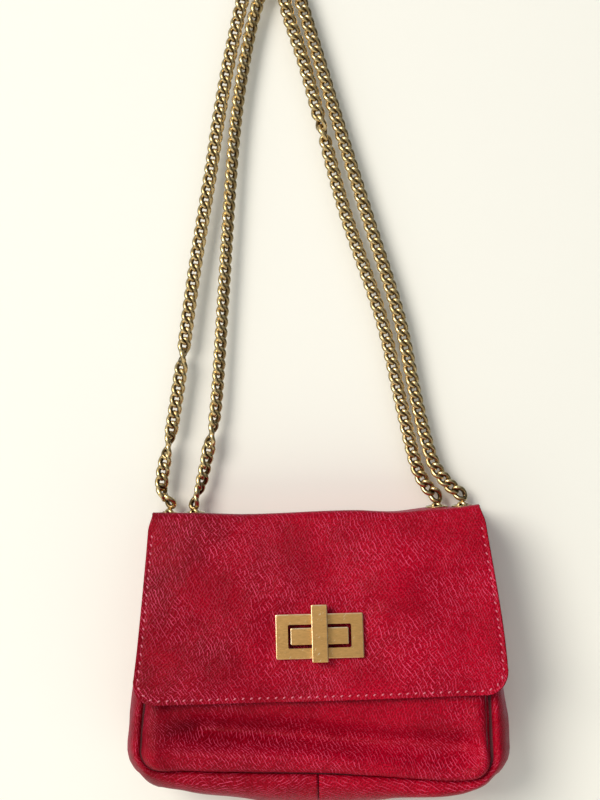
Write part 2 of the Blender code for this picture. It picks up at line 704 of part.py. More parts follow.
def make_lock_plate(flap):
    """Make the slotted plate on the flap, its backing plate and the four screws that join them."""
    outline = rounded_outline(PLATE_WIDTH, PLATE_HEIGHT, PLATE_CORNER)
    slot = rounded_outline(SLOT_WIDTH, SLOT_HEIGHT, SLOT_CORNER)
    plate = add_object("lock_plate", block(outline, PLATE_FRONT, PLATE_BACK), flap, BRUSHED_GOLD)
    round_edges(plate, PLATE_EDGE)
    backing = add_object("lock_backing_plate", block(outline, BACKING_FRONT, BACKING_BACK), flap, STEEL)
    slot_block = block(slot, PLATE_FRONT + CUT_OVERRUN, BACKING_BACK - CUT_OVERRUN)
    slot_cutter = add_object("plate_slot_cutter", slot_block, flap)
    for piece in (plate, backing):
        lean_with_front(piece, flap, LOCK_DROP)
        cut(piece, slot_cutter)
    lean_with_front(slot_cutter, flap, LOCK_DROP)
    blind_end = PLATE_BACK + PLATE_SCREW_DEPTH + GAP / 2
    head_top = BACKING_BACK - GAP
    screw_profile = (
        (0, head_top - SCREW_HEAD_HEIGHT), (SCREW_HEAD_RADIUS, head_top - SCREW_HEAD_HEIGHT),
        (SCREW_HEAD_RADIUS, head_top), (SCREW_RADIUS, head_top),
        (SCREW_RADIUS, PLATE_BACK + PLATE_SCREW_DEPTH), (0, PLATE_BACK + PLATE_SCREW_DEPTH))
    for number, (x, z) in enumerate(plate_screw_places(), 1):
        hole = turned(rod(SCREW_RADIUS + GAP, BACKING_BACK - CUT_OVERRUN, blind_end), SMALL_ROUND_SEGMENTS, "Y")
        cutter = add_object("plate_screw_cutter", shift(hole, x=x, z=z), flap)
        lean_with_front(cutter, flap, LOCK_DROP)
        cut(plate, cutter)
        cut(backing, cutter)
        body = turned(screw_profile, SMALL_ROUND_SEGMENTS, "Y")
        screw = add_object("plate_screw_" + str(number), shift(body, x=x, z=z), flap, STEEL)
        lean_with_front(screw, flap, LOCK_DROP)


def make_lock_base(bag, front_panel, front_lining):
    """Make the block on the front panel that stands up through the slot, with its plate and screws."""
    outline = rounded_outline(LOCK_BASE_WIDTH, LOCK_BASE_HEIGHT, LOCK_BASE_CORNER)
    base = add_object("lock_base", block(outline, BASE_FRONT, BASE_BACK), bag, BRUSHED_GOLD)
    round_edges(base, LOCK_BASE_EDGE)
    lean_with_front(base, bag, LOCK_DROP)
    bore = turned(rod(BORE_RADIUS, BASE_BACK - CUT_OVERRUN, BASE_FRONT + CUT_OVERRUN), ROUND_SEGMENTS, "Y")
    recess = turned(rod(RECESS_RADIUS, BASE_BACK - CUT_OVERRUN, CLIP_FRONT + GAP), ROUND_SEGMENTS, "Y")
    for name, shape in (("spindle_bore_cutter", bore), ("clip_recess_cutter", recess)):
        cutter = add_object(name, shape, bag)
        lean_with_front(cutter, bag, LOCK_DROP)
        cut(base, cutter)
    plate_outline = rounded_outline(INNER_PLATE_WIDTH, INNER_PLATE_HEIGHT, LOCK_BASE_CORNER)
    inner_block = block(plate_outline, INNER_PLATE_FRONT, INNER_PLATE_BACK)
    inner_plate = add_object("lock_inner_plate", inner_block, bag, STEEL)
    lean_with_front(inner_plate, bag, LOCK_DROP)
    head_top = INNER_PLATE_BACK - GAP
    tip = BASE_BACK + BASE_SCREW_DEPTH
    profile = (
        (0, head_top - SCREW_HEAD_HEIGHT), (SCREW_HEAD_RADIUS, head_top - SCREW_HEAD_HEIGHT),
        (SCREW_HEAD_RADIUS, head_top), (SCREW_RADIUS, head_top), (SCREW_RADIUS, tip), (0, tip))
    for name, side in (("left", -1), ("right", 1)):
        x = side * BASE_SCREW_SPREAD / 2
        hole = turned(rod(SCREW_RADIUS + GAP, head_top - CUT_OVERRUN, tip + GAP), SMALL_ROUND_SEGMENTS, "Y")
        cutter = add_object("base_screw_cutter", shift(hole, x=x), bag)
        lean_with_front(cutter, bag, LOCK_DROP)
        for piece in (base, inner_plate, front_panel, front_lining):
            cut(piece, cutter)
        body = turned(profile, SMALL_ROUND_SEGMENTS, "Y")
        screw = add_object("lock_base_screw_" + name, shift(body, x=x), bag, STEEL)
        lean_with_front(screw, bag, LOCK_DROP)


def make_toggle(toggle):
    """Make the turning bar with its spindle and the clip that keeps the spindle in the base."""
    outline = rounded_outline(TOGGLE_WIDTH, TOGGLE_LENGTH, TOGGLE_CORNER)
    # The bar reaches a little further above its spindle than below it
    body = shift(block(outline, TOGGLE_FRONT, TOGGLE_BACK), z=TOGGLE_RISE)
    bar = add_object("lock_toggle", body, toggle, BRUSHED_GOLD)
    round_edges(bar, TOGGLE_EDGE)
    lean_with_front(bar, toggle, LOCK_DROP)
    tip = TOGGLE_BACK + SPINDLE_ENGAGEMENT
    socket = turned(rod(SPINDLE_RADIUS + GAP, TOGGLE_BACK - CUT_OVERRUN, tip + GAP), ROUND_SEGMENTS, "Y")
    socket_cutter = add_object("toggle_socket_cutter", socket, toggle)
    cut(bar, lean_with_front(socket_cutter, toggle, LOCK_DROP))
    shaft = turned(rod(SPINDLE_RADIUS, CLIP_BACK, tip), ROUND_SEGMENTS, "Y")
    lean_with_front(add_object("lock_spindle", shaft, toggle, STEEL), toggle, LOCK_DROP)
    inner = SPINDLE_RADIUS + RUNNING_GAP
    ring = ((inner, CLIP_BACK), (CLIP_RADIUS, CLIP_BACK), (CLIP_RADIUS, CLIP_FRONT), (inner, CLIP_FRONT))
    clip = turned(ring, ROUND_SEGMENTS, "Y", closed=True)
    lean_with_front(add_object("lock_clip", clip, toggle, STEEL), toggle, LOCK_DROP)


# Chain

def smooth_curve(points, samples):
    """Run a smooth curve through the points, with the same number of samples on each stretch."""
    ends = [2 * points[0] - points[1]] + points + [2 * points[-1] - points[-2]]
    curve = [points[0]]
    for before, start, end, after in zip(ends, ends[1:], ends[2:], ends[3:]):
        for share in shares(samples)[1:]:
            square = share * share
            cube = square * share
            place = (2 * start + (end - before) * share
                     + (2 * before - 5 * start + 4 * end - after) * square
                     + (3 * start - before - 3 * end + after) * cube) / 2
            curve.append(place)
    return curve


def even_points(curve, step):
    """Pick points about a step apart along a curve, with both ends kept."""
    kept = [curve[0]]
    run = 0
    for before, point in zip(curve, curve[1:]):
        run += (point - before).length
        if run >= step:
            kept.append(point)
            run = 0
    kept[-1] = curve[-1]
    return kept


def strand(eyelet_x, turn_side, turn_radius, turn_start, route_shares):
    """Give the points of one strand, from its pivot over the eyelet to the turn over the hook."""
    foot = Vector((eyelet_x, 0, PIVOT_HEIGHT))
    reach = Vector((turn_side * math.cos(turn_start), 0, math.sin(turn_start)))
    head = HANG_CENTRE + reach * turn_radius
    points = [foot]
    for rise_share, across_share in route_shares:
        x = blend(foot.x, head.x, across_share)
        z = blend(foot.z, head.z, rise_share)
        points.append(Vector((x, 0, z)))
    points.append(head)
    return even_points(smooth_curve(points, CURVE_SAMPLES), CHAIN_STEP)


def turn_over_hook(radius, start):
    """Give the points of the turn over the hook, from left to right, without its two ends."""
    points = []
    for share in shares(TURN_STEPS)[1:-1]:
        angle = blend(math.pi - start, start, share)
        points.append(HANG_CENTRE + radius * Vector((math.cos(angle), 0, math.sin(angle))))
    return points


def chain_section(centre, along, width_share):
    """Give one ring of points across the chain, flat in the plane of the strap."""
    across = Vector((along.z, 0, -along.x)) * CHAIN_WIDTH / 2 * width_share
    through = Vector((0, 1, 0)) * CHAIN_THICKNESS / 2 * width_share
    ring = []
    for index in range(CHAIN_SIDES):
        angle = 2 * math.pi * (index + 1 / 2) / CHAIN_SIDES
        ring.append(centre + across * math.cos(angle) + through * math.sin(angle))
    return ring


def chain_run(name, points, round_ends, body):
    """Make the outer shape of a run of chain, with rounded or flat ends."""
    directions = []
    for index, point in enumerate(points):
        before = points[max(index - 1, 0)]
        after = points[min(index + 1, len(points) - 1)]
        directions.append((after - before).normalized())
    if round_ends:
        directions[0] = UP
        directions[-1] = -UP
    sections = [(point, along, 1) for point, along in zip(points, directions)]
    if round_ends:
        for share in shares(CHAIN_CAP_RINGS + 1)[1:-1]:
            angle = share * math.pi / 2
            fall = UP * math.sin(angle) * CHAIN_THICKNESS / 2
            sections.insert(0, (points[0] - fall, UP, math.cos(angle)))
            sections.append((points[-1] - fall, -UP, math.cos(angle)))
    bm = bmesh.new()
    rings = []
    for centre, along, width_share in sections:
        rings.append([bm.verts.new(place) for place in chain_section(centre, along, width_share)])
    for ring, next_ring in zip(rings, rings[1:]):
        for index in range(CHAIN_SIDES):
            after = (index + 1) % CHAIN_SIDES
            bm.faces.new((ring[index], ring[after], next_ring[after], next_ring[index]))
    bm.faces.new(rings[0])
    bm.faces.new(rings[-1])
    return add_object(name, bm, body, CHAIN_GOLD)


def make_strap(strap):
    """Make the two runs of the doubled chain, each up from one eyelet, over the hook and down again."""
    runs = (
        ("chain_outer", OUTER_EYELET_X, OUTER_TURN_RADIUS, OUTER_TURN_START,
         LEFT_OUTER_SHARES, RIGHT_OUTER_SHARES),
        ("chain_inner", INNER_EYELET_X, INNER_TURN_RADIUS, INNER_TURN_START,
         LEFT_INNER_SHARES, RIGHT_INNER_SHARES))
    for name, eyelet_x, radius, start, left_shares, right_shares in runs:
        left = strand(-eyelet_x, -1, radius, start, left_shares)
        right = strand(eyelet_x, 1, radius, start, right_shares)
        points = left + turn_over_hook(radius, start) + right[::-1]
        chain_run(name, points, True, strap)


def make_inside_chains(bag):
    """Make the short loops of chain under the yoke, which join each outer eyelet to its inner one."""
    radius = (OUTER_EYELET_X - INNER_EYELET_X) / 2
    centre_x = (OUTER_EYELET_X + INNER_EYELET_X) / 2
    bend_height = -EYELET_BOTTOM - INSIDE_LOOP_DROP
    for name, side in (("chain_inside_left", -1), ("chain_inside_right", 1)):
        points = [Vector((side * OUTER_EYELET_X, 0, EYELET_TOP))]
        for share in shares(TURN_STEPS):
            angle = -share * math.pi
            x = centre_x + radius * math.cos(angle)
            points.append(Vector((side * x, 0, bend_height + radius * math.sin(angle))))
        points.append(Vector((side * INNER_EYELET_X, 0, EYELET_TOP)))
        chain_run(name, points, False, bag)


def build():
    """Make the whole bag."""
    clear_scene()
    strap = Body("strap_frame", (-HANG_SHIFT, 0, STRAP_DROP))
    bag = Body("bag_frame", (0, 0, PIVOT_HEIGHT), strap)
    spine = Body("flap_spine_frame", (0, -SPINE_HINGE_DEPTH, 0), bag)
    flap = Body("flap_front_frame", (0, -FOLD_HINGE_DEPTH, FOLD_RISE), spine)
    toggle = Body("toggle_frame", front_place(LOCK_DROP), bag)
    front_panel, front_lining = make_panels(bag)
    make_gussets(bag)
    make_base_board(bag)
    make_yoke(bag)
    make_eyelets(bag)
    make_flap_spine(spine)
    make_flap_front(flap)
    make_lock_plate(flap)
    make_lock_base(bag, front_panel, front_lining)
    make_toggle(toggle)
    make_strap(strap)
    make_inside_chains(bag)


build()
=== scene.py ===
"""The look of a small leather shoulder bag with a turn lock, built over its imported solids.

Lengths are in metres and +Z is up. Pieces are laid out in the bag's own frame, whose origin lies on
top of the yoke midway between the eyelets and whose front faces -Y, and are then shifted to the
model's frame, whose origin is the point that holds the chain.
"""
import math

import bpy
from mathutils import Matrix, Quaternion, Vector, noise


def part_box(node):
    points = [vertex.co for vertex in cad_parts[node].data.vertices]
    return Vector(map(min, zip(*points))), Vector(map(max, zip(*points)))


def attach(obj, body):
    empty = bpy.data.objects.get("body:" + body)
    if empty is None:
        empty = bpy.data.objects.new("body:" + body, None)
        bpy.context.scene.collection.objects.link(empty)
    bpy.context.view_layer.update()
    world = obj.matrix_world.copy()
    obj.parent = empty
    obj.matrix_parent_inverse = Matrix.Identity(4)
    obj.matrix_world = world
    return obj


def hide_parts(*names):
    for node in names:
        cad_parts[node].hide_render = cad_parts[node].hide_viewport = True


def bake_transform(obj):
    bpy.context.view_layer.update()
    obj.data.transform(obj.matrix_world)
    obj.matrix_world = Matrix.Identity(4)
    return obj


MM = 0.001
DEGREE = math.pi / 180

# Sizes of the solids that the pieces here stand for
LEATHER = 1.6 * MM
PANEL_LEATHER = 1.8 * MM
FACING_LEATHER = 1.2 * MM
LINING = 0.8 * MM
GAP = 0.3 * MM
BODY_TOP_HALF_WIDTH = 86 * MM
BODY_BOTTOM_HALF_WIDTH = 90.5 * MM
PANEL_HEIGHT = 131 * MM
PANEL_CORNER = 10 * MM
BACK_DEPTH = 8 * MM
FRONT_DEPTH = 24.2 * MM
FRONT_LEAN = 8.5 * DEGREE
PANEL_PUFF = 1.8 * MM
PUFF_POWER = 4
SIDE_TOP_BULGE = 1.5 * MM
SIDE_BULGE = 9 * MM
CORNER_BULGE = 7.5 * MM
BASE_END_BULGE = 11.5 * MM
BASE_BULGE = 19 * MM
BASE_FLAT_HALF_LENGTH = 50 * MM
FACING_HEIGHT = 22 * MM
POCKET_WIDTH = 120 * MM
POCKET_HEIGHT = 70 * MM
POCKET_TOP = 42 * MM
YOKE_HALF_WIDTH = 87.5 * MM
YOKE_FRONT = 6.6 * MM
FLAP_TOP_HALF_WIDTH = 87 * MM
FLAP_BOTTOM_HALF_WIDTH = 95.5 * MM
FLAP_DROP = 92.8 * MM
FLAP_CORNER = 12.5 * MM
FLAP_BEND = 5 * MM
FOLD_RISE = 2.6 * MM
FOLD_LAND = 0.5 * MM
FLAP_LINING_MARGIN = 1 * MM
FLAP_OUT = 5.8 * MM
LOCK_DROP = 61.4 * MM
PLATE_WIDTH = 45 * MM
PLATE_HEIGHT = 22.7 * MM
SLOT_WIDTH = 32.4 * MM
SLOT_HEIGHT = 12 * MM
STRAP_DROP = 282 * MM
HANG_SHIFT = 16.5 * MM
CHAIN_WIDTH = 7.6 * MM
CHAIN_THICKNESS = 4.6 * MM
HOOK_RADIUS = 2.7 * MM
CHAIN_NEST_GAP = 0.4 * MM
INNER_EYELET_X = 65.8 * MM
OUTER_EYELET_X = 79.6 * MM
EYELET_BARREL = 4.7 * MM
EYELET_TOP = 1.2 * MM
EYELET_BOTTOM = 5.1 * MM
BELOW_EYELETS = 5.4 * MM
INSIDE_LOOP_DROP = 3 * MM

# How each strand of chain runs from its eyelet to the turn at the top: the share of the rise, and
# the share of the way across
LEFT_OUTER_SHARES = (
    (0.012, 0.01), (0.026, -0.06), (0.048, -0.07), (0.082, -0.04), (0.15, 0.05),
    (0.26, 0.165), (0.45, 0.34), (0.64, 0.545), (0.755, 0.66), (0.865, 0.79), (0.975, 0.945))
LEFT_INNER_SHARES = (
    (0.012, 0.01), (0.035, 0.07), (0.06, 0.12), (0.12, 0.21), (0.2, 0.31),
    (0.4, 0.43), (0.65, 0.575), (0.79, 0.685), (0.92, 0.85))
RIGHT_INNER_SHARES = (
    (0.012, 0.01), (0.03, 0.07), (0.06, 0.125), (0.1, 0.165), (0.2, 0.24),
    (0.36, 0.36), (0.57, 0.6), (0.72, 0.735), (0.86, 0.86), (0.955, 0.965))
RIGHT_OUTER_SHARES = (
    (0.012, 0.01), (0.03, 0.08), (0.06, 0.16), (0.1, 0.21), (0.2, 0.285),
    (0.36, 0.385), (0.55, 0.57), (0.72, 0.735), (0.86, 0.865), (0.955, 0.955))
INNER_TURN_START = 15 * DEGREE
OUTER_TURN_START = 24 * DEGREE
# Where the strands turn over, as height above the yoke's top, half the height of the turn, and angle
LEFT_OUTER_TWISTS = (
    (10 * MM, 9 * MM, 180 * DEGREE), (38 * MM, 14 * MM, 180 * DEGREE), (86 * MM, 10 * MM, 180 * DEGREE))
LEFT_INNER_TWISTS = ((8 * MM, 10 * MM, 140 * DEGREE), (40 * MM, 12 * MM, 180 * DEGREE))
RIGHT_INNER_TWISTS = ((207 * MM, 14 * MM, 180 * DEGREE),)
RIGHT_OUTER_TWISTS = ()

# How the gusset swells between its two seams: the share of the depth and the share of the bulge
GUSSET_SWELL_SHARES = (
    (0, 0), (0.02, 0.2), (0.045, 0.4), (0.12, 0.68), (0.24, 0.9), (0.38, 1),
    (0.62, 1), (0.76, 0.9), (0.88, 0.68), (0.955, 0.4), (0.98, 0.2), (1, 0))

# How far the soft bag hangs below its solids: places across, and the hang there. The first table is
# the seam under the front panel, the second the lowest leather, the third the top between the
# eyelets, and the fourth what the flap's fold hangs beyond that.
SEAM_SAG = (
    (-94 * MM, -4 * MM), (-80 * MM, -3.4 * MM), (-50 * MM, -1.6 * MM), (0, 0), (30 * MM, 2.6 * MM),
    (62 * MM, 6 * MM), (80 * MM, 5.6 * MM), (94 * MM, 3 * MM))
BASE_SAG = (
    (-98 * MM, 0.4 * MM), (-81 * MM, -1.2 * MM), (-68 * MM, -3.6 * MM), (-50 * MM, -3.2 * MM),
    (-28 * MM, -0.2 * MM), (0, 2 * MM), (30 * MM, 1.2 * MM), (57 * MM, -0.6 * MM), (78 * MM, 3 * MM),
    (98 * MM, 4.4 * MM))
TOP_SAG = (
    (-60 * MM, 0), (-40 * MM, 1.1 * MM), (-20 * MM, 1.1 * MM), (20 * MM, 0.5 * MM), (42 * MM, 1.7 * MM),
    (60 * MM, 0))
FOLD_SAG = (
    (-88 * MM, -0.9 * MM), (-78 * MM, -0.6 * MM), (-50 * MM, 0.1 * MM), (0, 0), (45 * MM, 0.5 * MM),
    (62 * MM, 1.2 * MM), (75 * MM, 0.5 * MM), (88 * MM, -0.9 * MM))
TOP_SAG_DEPTH = 20 * MM
SAG_DOWN = (86 * MM, 124 * MM)
SEAM_SAG_SHARES = (0.55, 1)
SWAY = -3.3 * MM
SWAY_DOWN = (40 * MM, 133 * MM)
# How far the flap's side edges flare out past the solid's: places down the flap, and the flare
LEFT_FLARE = (
    (0, 0), (43 * MM, 0), (63 * MM, 0.3 * MM), (74 * MM, 0.7 * MM), (83 * MM, 1 * MM), (96 * MM, 1 * MM))
RIGHT_FLARE = (
    (0, 0), (23 * MM, 1 * MM), (43 * MM, 1.8 * MM), (63 * MM, 2 * MM), (76 * MM, 1.6 * MM),
    (96 * MM, 0.6 * MM))

# How finely the sheets are made
FINE_STEP = 0.5 * MM
MEDIUM_STEP = 1 * MM
GRID_STEP = 1.5 * MM
WIDE_STEP = 2 * MM
COARSE_STEP = GRID_STEP * 2
FINE_BAND = 6 * MM
BLEND_STEP = 0.35 * MM
YOKE_STEP = 0.4 * MM
YOKE_LINING_STEPS = (0.6 * MM, 0.8 * MM)
HOLE_STEP = 0.7 * MM
HOLE_REACH = 4.2 * MM
HOLE_LOWEST = -0.1 * MM
LOWER_BAND = 26 * MM
ROLL_ROOM = 0.3 * MM
ROLL_STEPS = 6
RIM_STEPS = 4
CURVE_SAMPLES = 6
SWELL_SAMPLES = 4
TOP_EDGE_STEPS = 8
FOLD_STEPS = 18
CORNER_STEPS = 8
LINING_CORNER_STEPS = 14
LINING_COLUMNS = 80
TURN_STEPS = 24

# Where each sheet lies on its material, so that no two have the same grain
GRAIN_SHIFTS = {
    "front_panel_leather": (0.31, 0.17), "back_and_top_leather": (0.05, 0.4), "flap_leather": (0.05, 0.22),
    "gusset_leather_left": (0.3, 0.7), "gusset_leather_right": (0.7, 0.7), "pocket_cloth": (0.8, 0),
    "lining_cloth_front": (0.2, 0), "lining_cloth_back": (0.4, 0), "lining_cloth_gusset": (0.6, 0),
    "flap_lining_leather": (0.3, 0.1), "spine_lining_leather": (0.3, 0.3)}
BACK_OUTWARD = (0, 1, 0.5)
FLAP_OUTWARD = (0, -1, 0.3)

# The rolled seams, the groove in front of them and the round edge at the back of the top
SEAM_ROLL = 4.2 * MM
SEAM_ROLL_DEPTH = 6.6 * MM
DEEP_SEAM = 7 * MM
LEFT_GROOVE = 1.1 * MM
RIGHT_GROOVE = 2.2 * MM
BASE_GROOVE = 0.2 * MM
GROOVE_FADE = (-10 * MM, 4 * MM)
TOP_EDGE_ROUND = 3 * MM
BACK_ROLL_START = 12 * MM
BACK_DIP = 0.5 * MM
BACK_DIP_WAVES = (0.5, 34 * MM, 5.5)

# The front panel: a trough under the flap, a puff below it and a fat roll beside each side seam.
# Crumples, lumps and waves are a height, a size and a seed of noise.
LOWER_PANEL = (88 * MM, 102 * MM)
PANEL_TOP_FADE = (0, 10 * MM)
TROUGH_DOWN = 110.5 * MM
TROUGH_DEPTH = 10.6 * MM
TROUGH_WIDTH = 9 * MM
TROUGH_LOWER_WIDTH = 5 * MM
TROUGH_FALL = 7 * MM
TROUGH_SLANT = (-70 * MM, 70 * MM)
TROUGH_LEFT_END = (11 * MM, 32 * MM)
TROUGH_RIGHT_END = (2 * MM, 16 * MM)
PUFF_DOWN = 121 * MM
LOWER_PUFF = 3 * MM
LOWER_PUFF_WIDTH = 5 * MM
LOWER_PUFF_EDGE = (0, 10 * MM)
LOWER_PUFF_FADE = (10 * MM, 80 * MM)
LOWER_PUFF_FADE_SHARE = 0.6
LEFT_ROLL = 2.6 * MM
RIGHT_ROLL = 1.2 * MM
ROLL_INSIDE = 7 * MM
ROLL_WIDTH = 6 * MM
CRUMPLE = (0.5 * MM, 16 * MM, 3.1)
CRUMPLE_STRETCH_SHARE = 1.6
FINE_CRUMPLE = (0.22 * MM, 6 * MM, 7.7)
FINE_CRUMPLE_LEAN_SHARE = 0.5

# The gusset: a crease along each side, a roll forward over the front seam, and folds
LOW_SIDE = (50 * MM, 90 * MM)
FORWARD_ROLL = 4.6 * MM
FORWARD_POWER = 0.62
FORWARD_SHARES = (0.6, 0.9)
SIDE_CREASE = 6 * MM
SIDE_CREASE_PLACE_SHARE = 0.5
SIDE_CREASE_WIDTH_SHARE = 0.2
SIDE_CREASE_END_SHARES = (0.1, 0.75)
RIGHT_SWELL = 2.5 * MM
RIGHT_SWELL_START_SHARES = (0.68, 0.92)
RIGHT_SWELL_END_SHARES = (1.1, 1.5)
GUSSET_FOLD = 0.5 * MM
GUSSET_FOLD_STRETCH_SHARES = (6, 2.2)
GUSSET_FOLD_SIZE_SHARE = 0.55
GUSSET_FOLD_SEED = 2.3
GUSSET_FOLD_START_SHARES = (0.3, 0.9)
SEAM_RIDGE = 0.5 * MM
SEAM_RIDGE_SHARE = 0.025
SEAM_SHIFT = 0.8 * MM

# What lies inside
LOOSE = 0.35 * MM
FACING_LOOSE_WAVES = (1, 13 * MM, 9.1)
FRONT_LOOSE_WAVES = (1, 13 * MM, 4.4)
BACK_LOOSE_WAVES = (1, 15 * MM, 6.2)
BACK_LOOSE = 0.5 * MM
POCKET_ROOM = 1.2 * MM
POCKET_GAPE = 1.6 * MM
POCKET_GAPE_DOWN = (0, 34 * MM)
POCKET_GAPE_POWER = 4
POCKET_HEM = 0.35 * MM
POCKET_HEM_DOWN = (6 * MM, 7 * MM)
BOARD_ROUND = 1 * MM

# The flap. A dent is a depth, then a place across and a width, and a place down and a height.
BLEND_START = 6.3 * MM
BLEND_END = 10.5 * MM
FOLD_BLEND_START = 21.6 * MM
FOLD_BLEND_END = 28.4 * MM
SPINE_SPLIT = 16 * MM
FOLD_SAG_START = 22 * MM
FOLD_TUCK = 1.6 * MM
TUCK_ACROSS = (70 * MM, 88 * MM)
TUCK_FORWARD = (17 * MM, 24 * MM)
TUCK_DOWN = (0, 9 * MM)
FLARE_ACROSS = (30 * MM, 92 * MM)
FLAP_BELLY = 0.4 * MM
BELLY_ACROSS = (0, 85 * MM)
BELLY_DOWN = (70 * MM, FLAP_DROP)
FLAP_TILT = 0.4 * MM
TILT_DOWN = (45 * MM, FLAP_DROP)
BESIDE_PLATE = 14 * MM
BELOW_PLATE = 12 * MM
SWELL_DOWN = (4 * MM, 22 * MM)
PILLOW = 1.1 * MM
FLAP_LUMPS = ((0.9 * MM, 38 * MM, 1.7), (0.35 * MM, 15 * MM, 8.3))
FLAP_DENTS = (
    (-1.3 * MM, 14 * MM, 9 * MM, 46 * MM, 5 * MM), (1.3 * MM, 36 * MM, 15 * MM, 38 * MM, 11 * MM))
LEFT_LIFT = 3.6 * MM
LEFT_LIFT_SHARES = (0.25, 1.05)
LEFT_LIFT_DOWN = (6 * MM, 60 * MM)
STITCH_MARGIN = 2.3 * MM
STITCH_PITCH = 4.2 * MM
STITCH_LENGTH = 2.1 * MM
STITCH_RADIUS = 0.42 * MM
STITCH_TILT = 34 * DEGREE
STITCH_SINK = 0.1 * MM
STITCH_SIDES = 6
STITCH_PROFILE_SHARES = (
    (-0.5, 0.2), (-0.42, 0.72), (-0.25, 1), (0, 1.08), (0.25, 1), (0.42, 0.72), (0.5, 0.2))
STITCH_SAG_SHARE = 1.6
STITCH_BELOW_FOLD = 2 * MM
STITCH_GROOVE = 0.28 * MM
STITCH_GROOVE_WIDTH = 0.9 * MM
STITCH_GROOVE_DOWN = (6 * MM, 9 * MM)

# Chain links
LINK_PITCH = 5.75 * MM
LINK_WIRE = 1.34 * MM
LINK_HALF_LENGTH = 3.95 * MM
LINK_HALF_WIDTH = 2.5 * MM
LINK_TURN = 47 * DEGREE
LINK_STEPS = 28
LINK_SIDES = 10

# Camera, as the photograph's own lines and sizes give it
CAMERA_PLACE = (9.6 * MM, -691.5 * MM, -221.6 * MM)
CAMERA_ROLL = -1.5 * DEGREE
CAMERA_SENSOR = 32
CAMERA_LENS = 50.92

# Surroundings and light
WALL_DEPTH = 8.6 * MM
WALL_SIZE = 640 * MM
WALL_CENTRE = (9.6 * MM, -222 * MM)
FLOOR_HEIGHT = -700 * MM
FLOOR_SIZE = 2400 * MM
SQUARE = ((-1, -1), (1, -1), (1, 1), (-1, 1))
KEY_PLACE = (-2.03, -2.66, 1.17)
KEY_AIM = (0, 0, -0.3)
KEY_SIZE = 2.1
KEY_POWER = 110
KEY_COLOUR = (1, 0.955, 0.875)
SKY_WAY = (-0.55, -0.6, 0.6)
SKY_RAMP = (-0.3, 1, 0.02, 0.62)
SKY_COLOUR = (0.87, 0.955, 1)
BACK_SKY = 0.7

# Places worked out from the sizes above
FRONT_SLOPE = math.tan(FRONT_LEAN)
LEAN_STRETCH = 1 / math.cos(FRONT_LEAN)
CORNER_TOP = PANEL_HEIGHT - PANEL_CORNER
FRONT_TOP = LEATHER + GAP + LINING + 2 * GAP
FACING_BOTTOM = FRONT_TOP + FACING_HEIGHT
FLAP_PLANE_DEPTH = FRONT_DEPTH + FLAP_OUT * LEAN_STRETCH
FLAP_CORNER_TOP = FLAP_DROP - FLAP_CORNER
FOLD_CENTRE_DOWN = FLAP_BEND - FOLD_RISE
FOLD_CENTRE_DEPTH = FLAP_PLANE_DEPTH + FOLD_CENTRE_DOWN * FRONT_SLOPE - FLAP_BEND * LEAN_STRETCH
SPINE_BACK = YOKE_FRONT + GAP
SPINE_FRONT = FOLD_CENTRE_DEPTH - FOLD_LAND
FRONT_INNER = PANEL_LEATHER + GAP
BACK_INNER = BACK_DEPTH - PANEL_LEATHER - GAP
LINING_INSET = LEATHER + GAP
PANEL_LINING_INSET = LEATHER + LINING + GAP
LOCK_DOWN = LOCK_DROP * math.cos(FRONT_LEAN)
HALF_SLOT_DOWN = SLOT_HEIGHT / 2 * math.cos(FRONT_LEAN)
PIVOT_HEIGHT = EYELET_TOP + GAP + CHAIN_THICKNESS / 2
BAG_ORIGIN = Vector((HANG_SHIFT, 0, -STRAP_DROP))
HANG_CENTRE = Vector((-HANG_SHIFT, 0, STRAP_DROP - HOOK_RADIUS))
INNER_TURN_RADIUS = HOOK_RADIUS + CHAIN_WIDTH / 2
OUTER_TURN_RADIUS = INNER_TURN_RADIUS + CHAIN_WIDTH + CHAIN_NEST_GAP
YOKE_BEND = ("bag", "flap_spine", BLEND_START, BLEND_END)
FRONT_BEND = ("flap_spine", "flap_front", FOLD_BLEND_START, FOLD_BLEND_END)


# Plain helpers

def mix(low, high, share):
    """Give the value a share of the way from low to high."""
    return low + (high - low) * share


def clamp(value):
    """Keep a value between 0 and 1."""
    return max(0, min(1, value))


def ease(low, high, value):
    """Give 0 below low, 1 above high and a smooth rise between them."""
    share = clamp((value - low) / (high - low))
    return share * share * (3 - 2 * share)


def hump(value, centre, width):
    """Give a smooth hump of height 1 at a centre."""
    share = (value - centre) / width
    return math.exp(-share * share)


def shares(count):
    """Give evenly spaced shares from 0 to 1."""
    return [index / count for index in range(count + 1)]


def spaced(low, high, step):
    """Give evenly spaced values from low to high, about a step apart."""
    count = max(1, round(abs(high - low) / step))
    return [mix(low, high, share) for share in shares(count)]


def quarter_turn(count):
    """Give the cosine and the sine at even steps round a quarter turn, from its first step on."""
    angles = [share * math.pi / 2 for share in shares(count)[1:]]
    return [(math.cos(angle), math.sin(angle)) for angle in angles]


def waves(x, y, height, size, seed):
    """Give smooth noise of about a given height, with lumps of a given size."""
    return height * noise.noise(Vector((x / size, y / size, seed)))


def table_value(table, place):
    """Give the value at a place on a smooth curve through a table of places and values."""
    place = max(table[0][0], min(table[-1][0], place))
    index = 0
    while place > table[index + 1][0]:
        index += 1
    slopes = []
    for middle in (index, index + 1):
        before = table[max(middle - 1, 0)]
        after = table[min(middle + 1, len(table) - 1)]
        slopes.append((after[1] - before[1]) / (after[0] - before[0]))
    low, low_value = table[index]
    high, high_value = table[index + 1]
    width = high - low
    share = (place - low) / width
    rest = 1 - share
    value = low_value * rest * rest * (1 + 2 * share) + high_value * share * share * (3 - 2 * share)
    return value + width * share * rest * (slopes[0] * rest - slopes[1] * share)


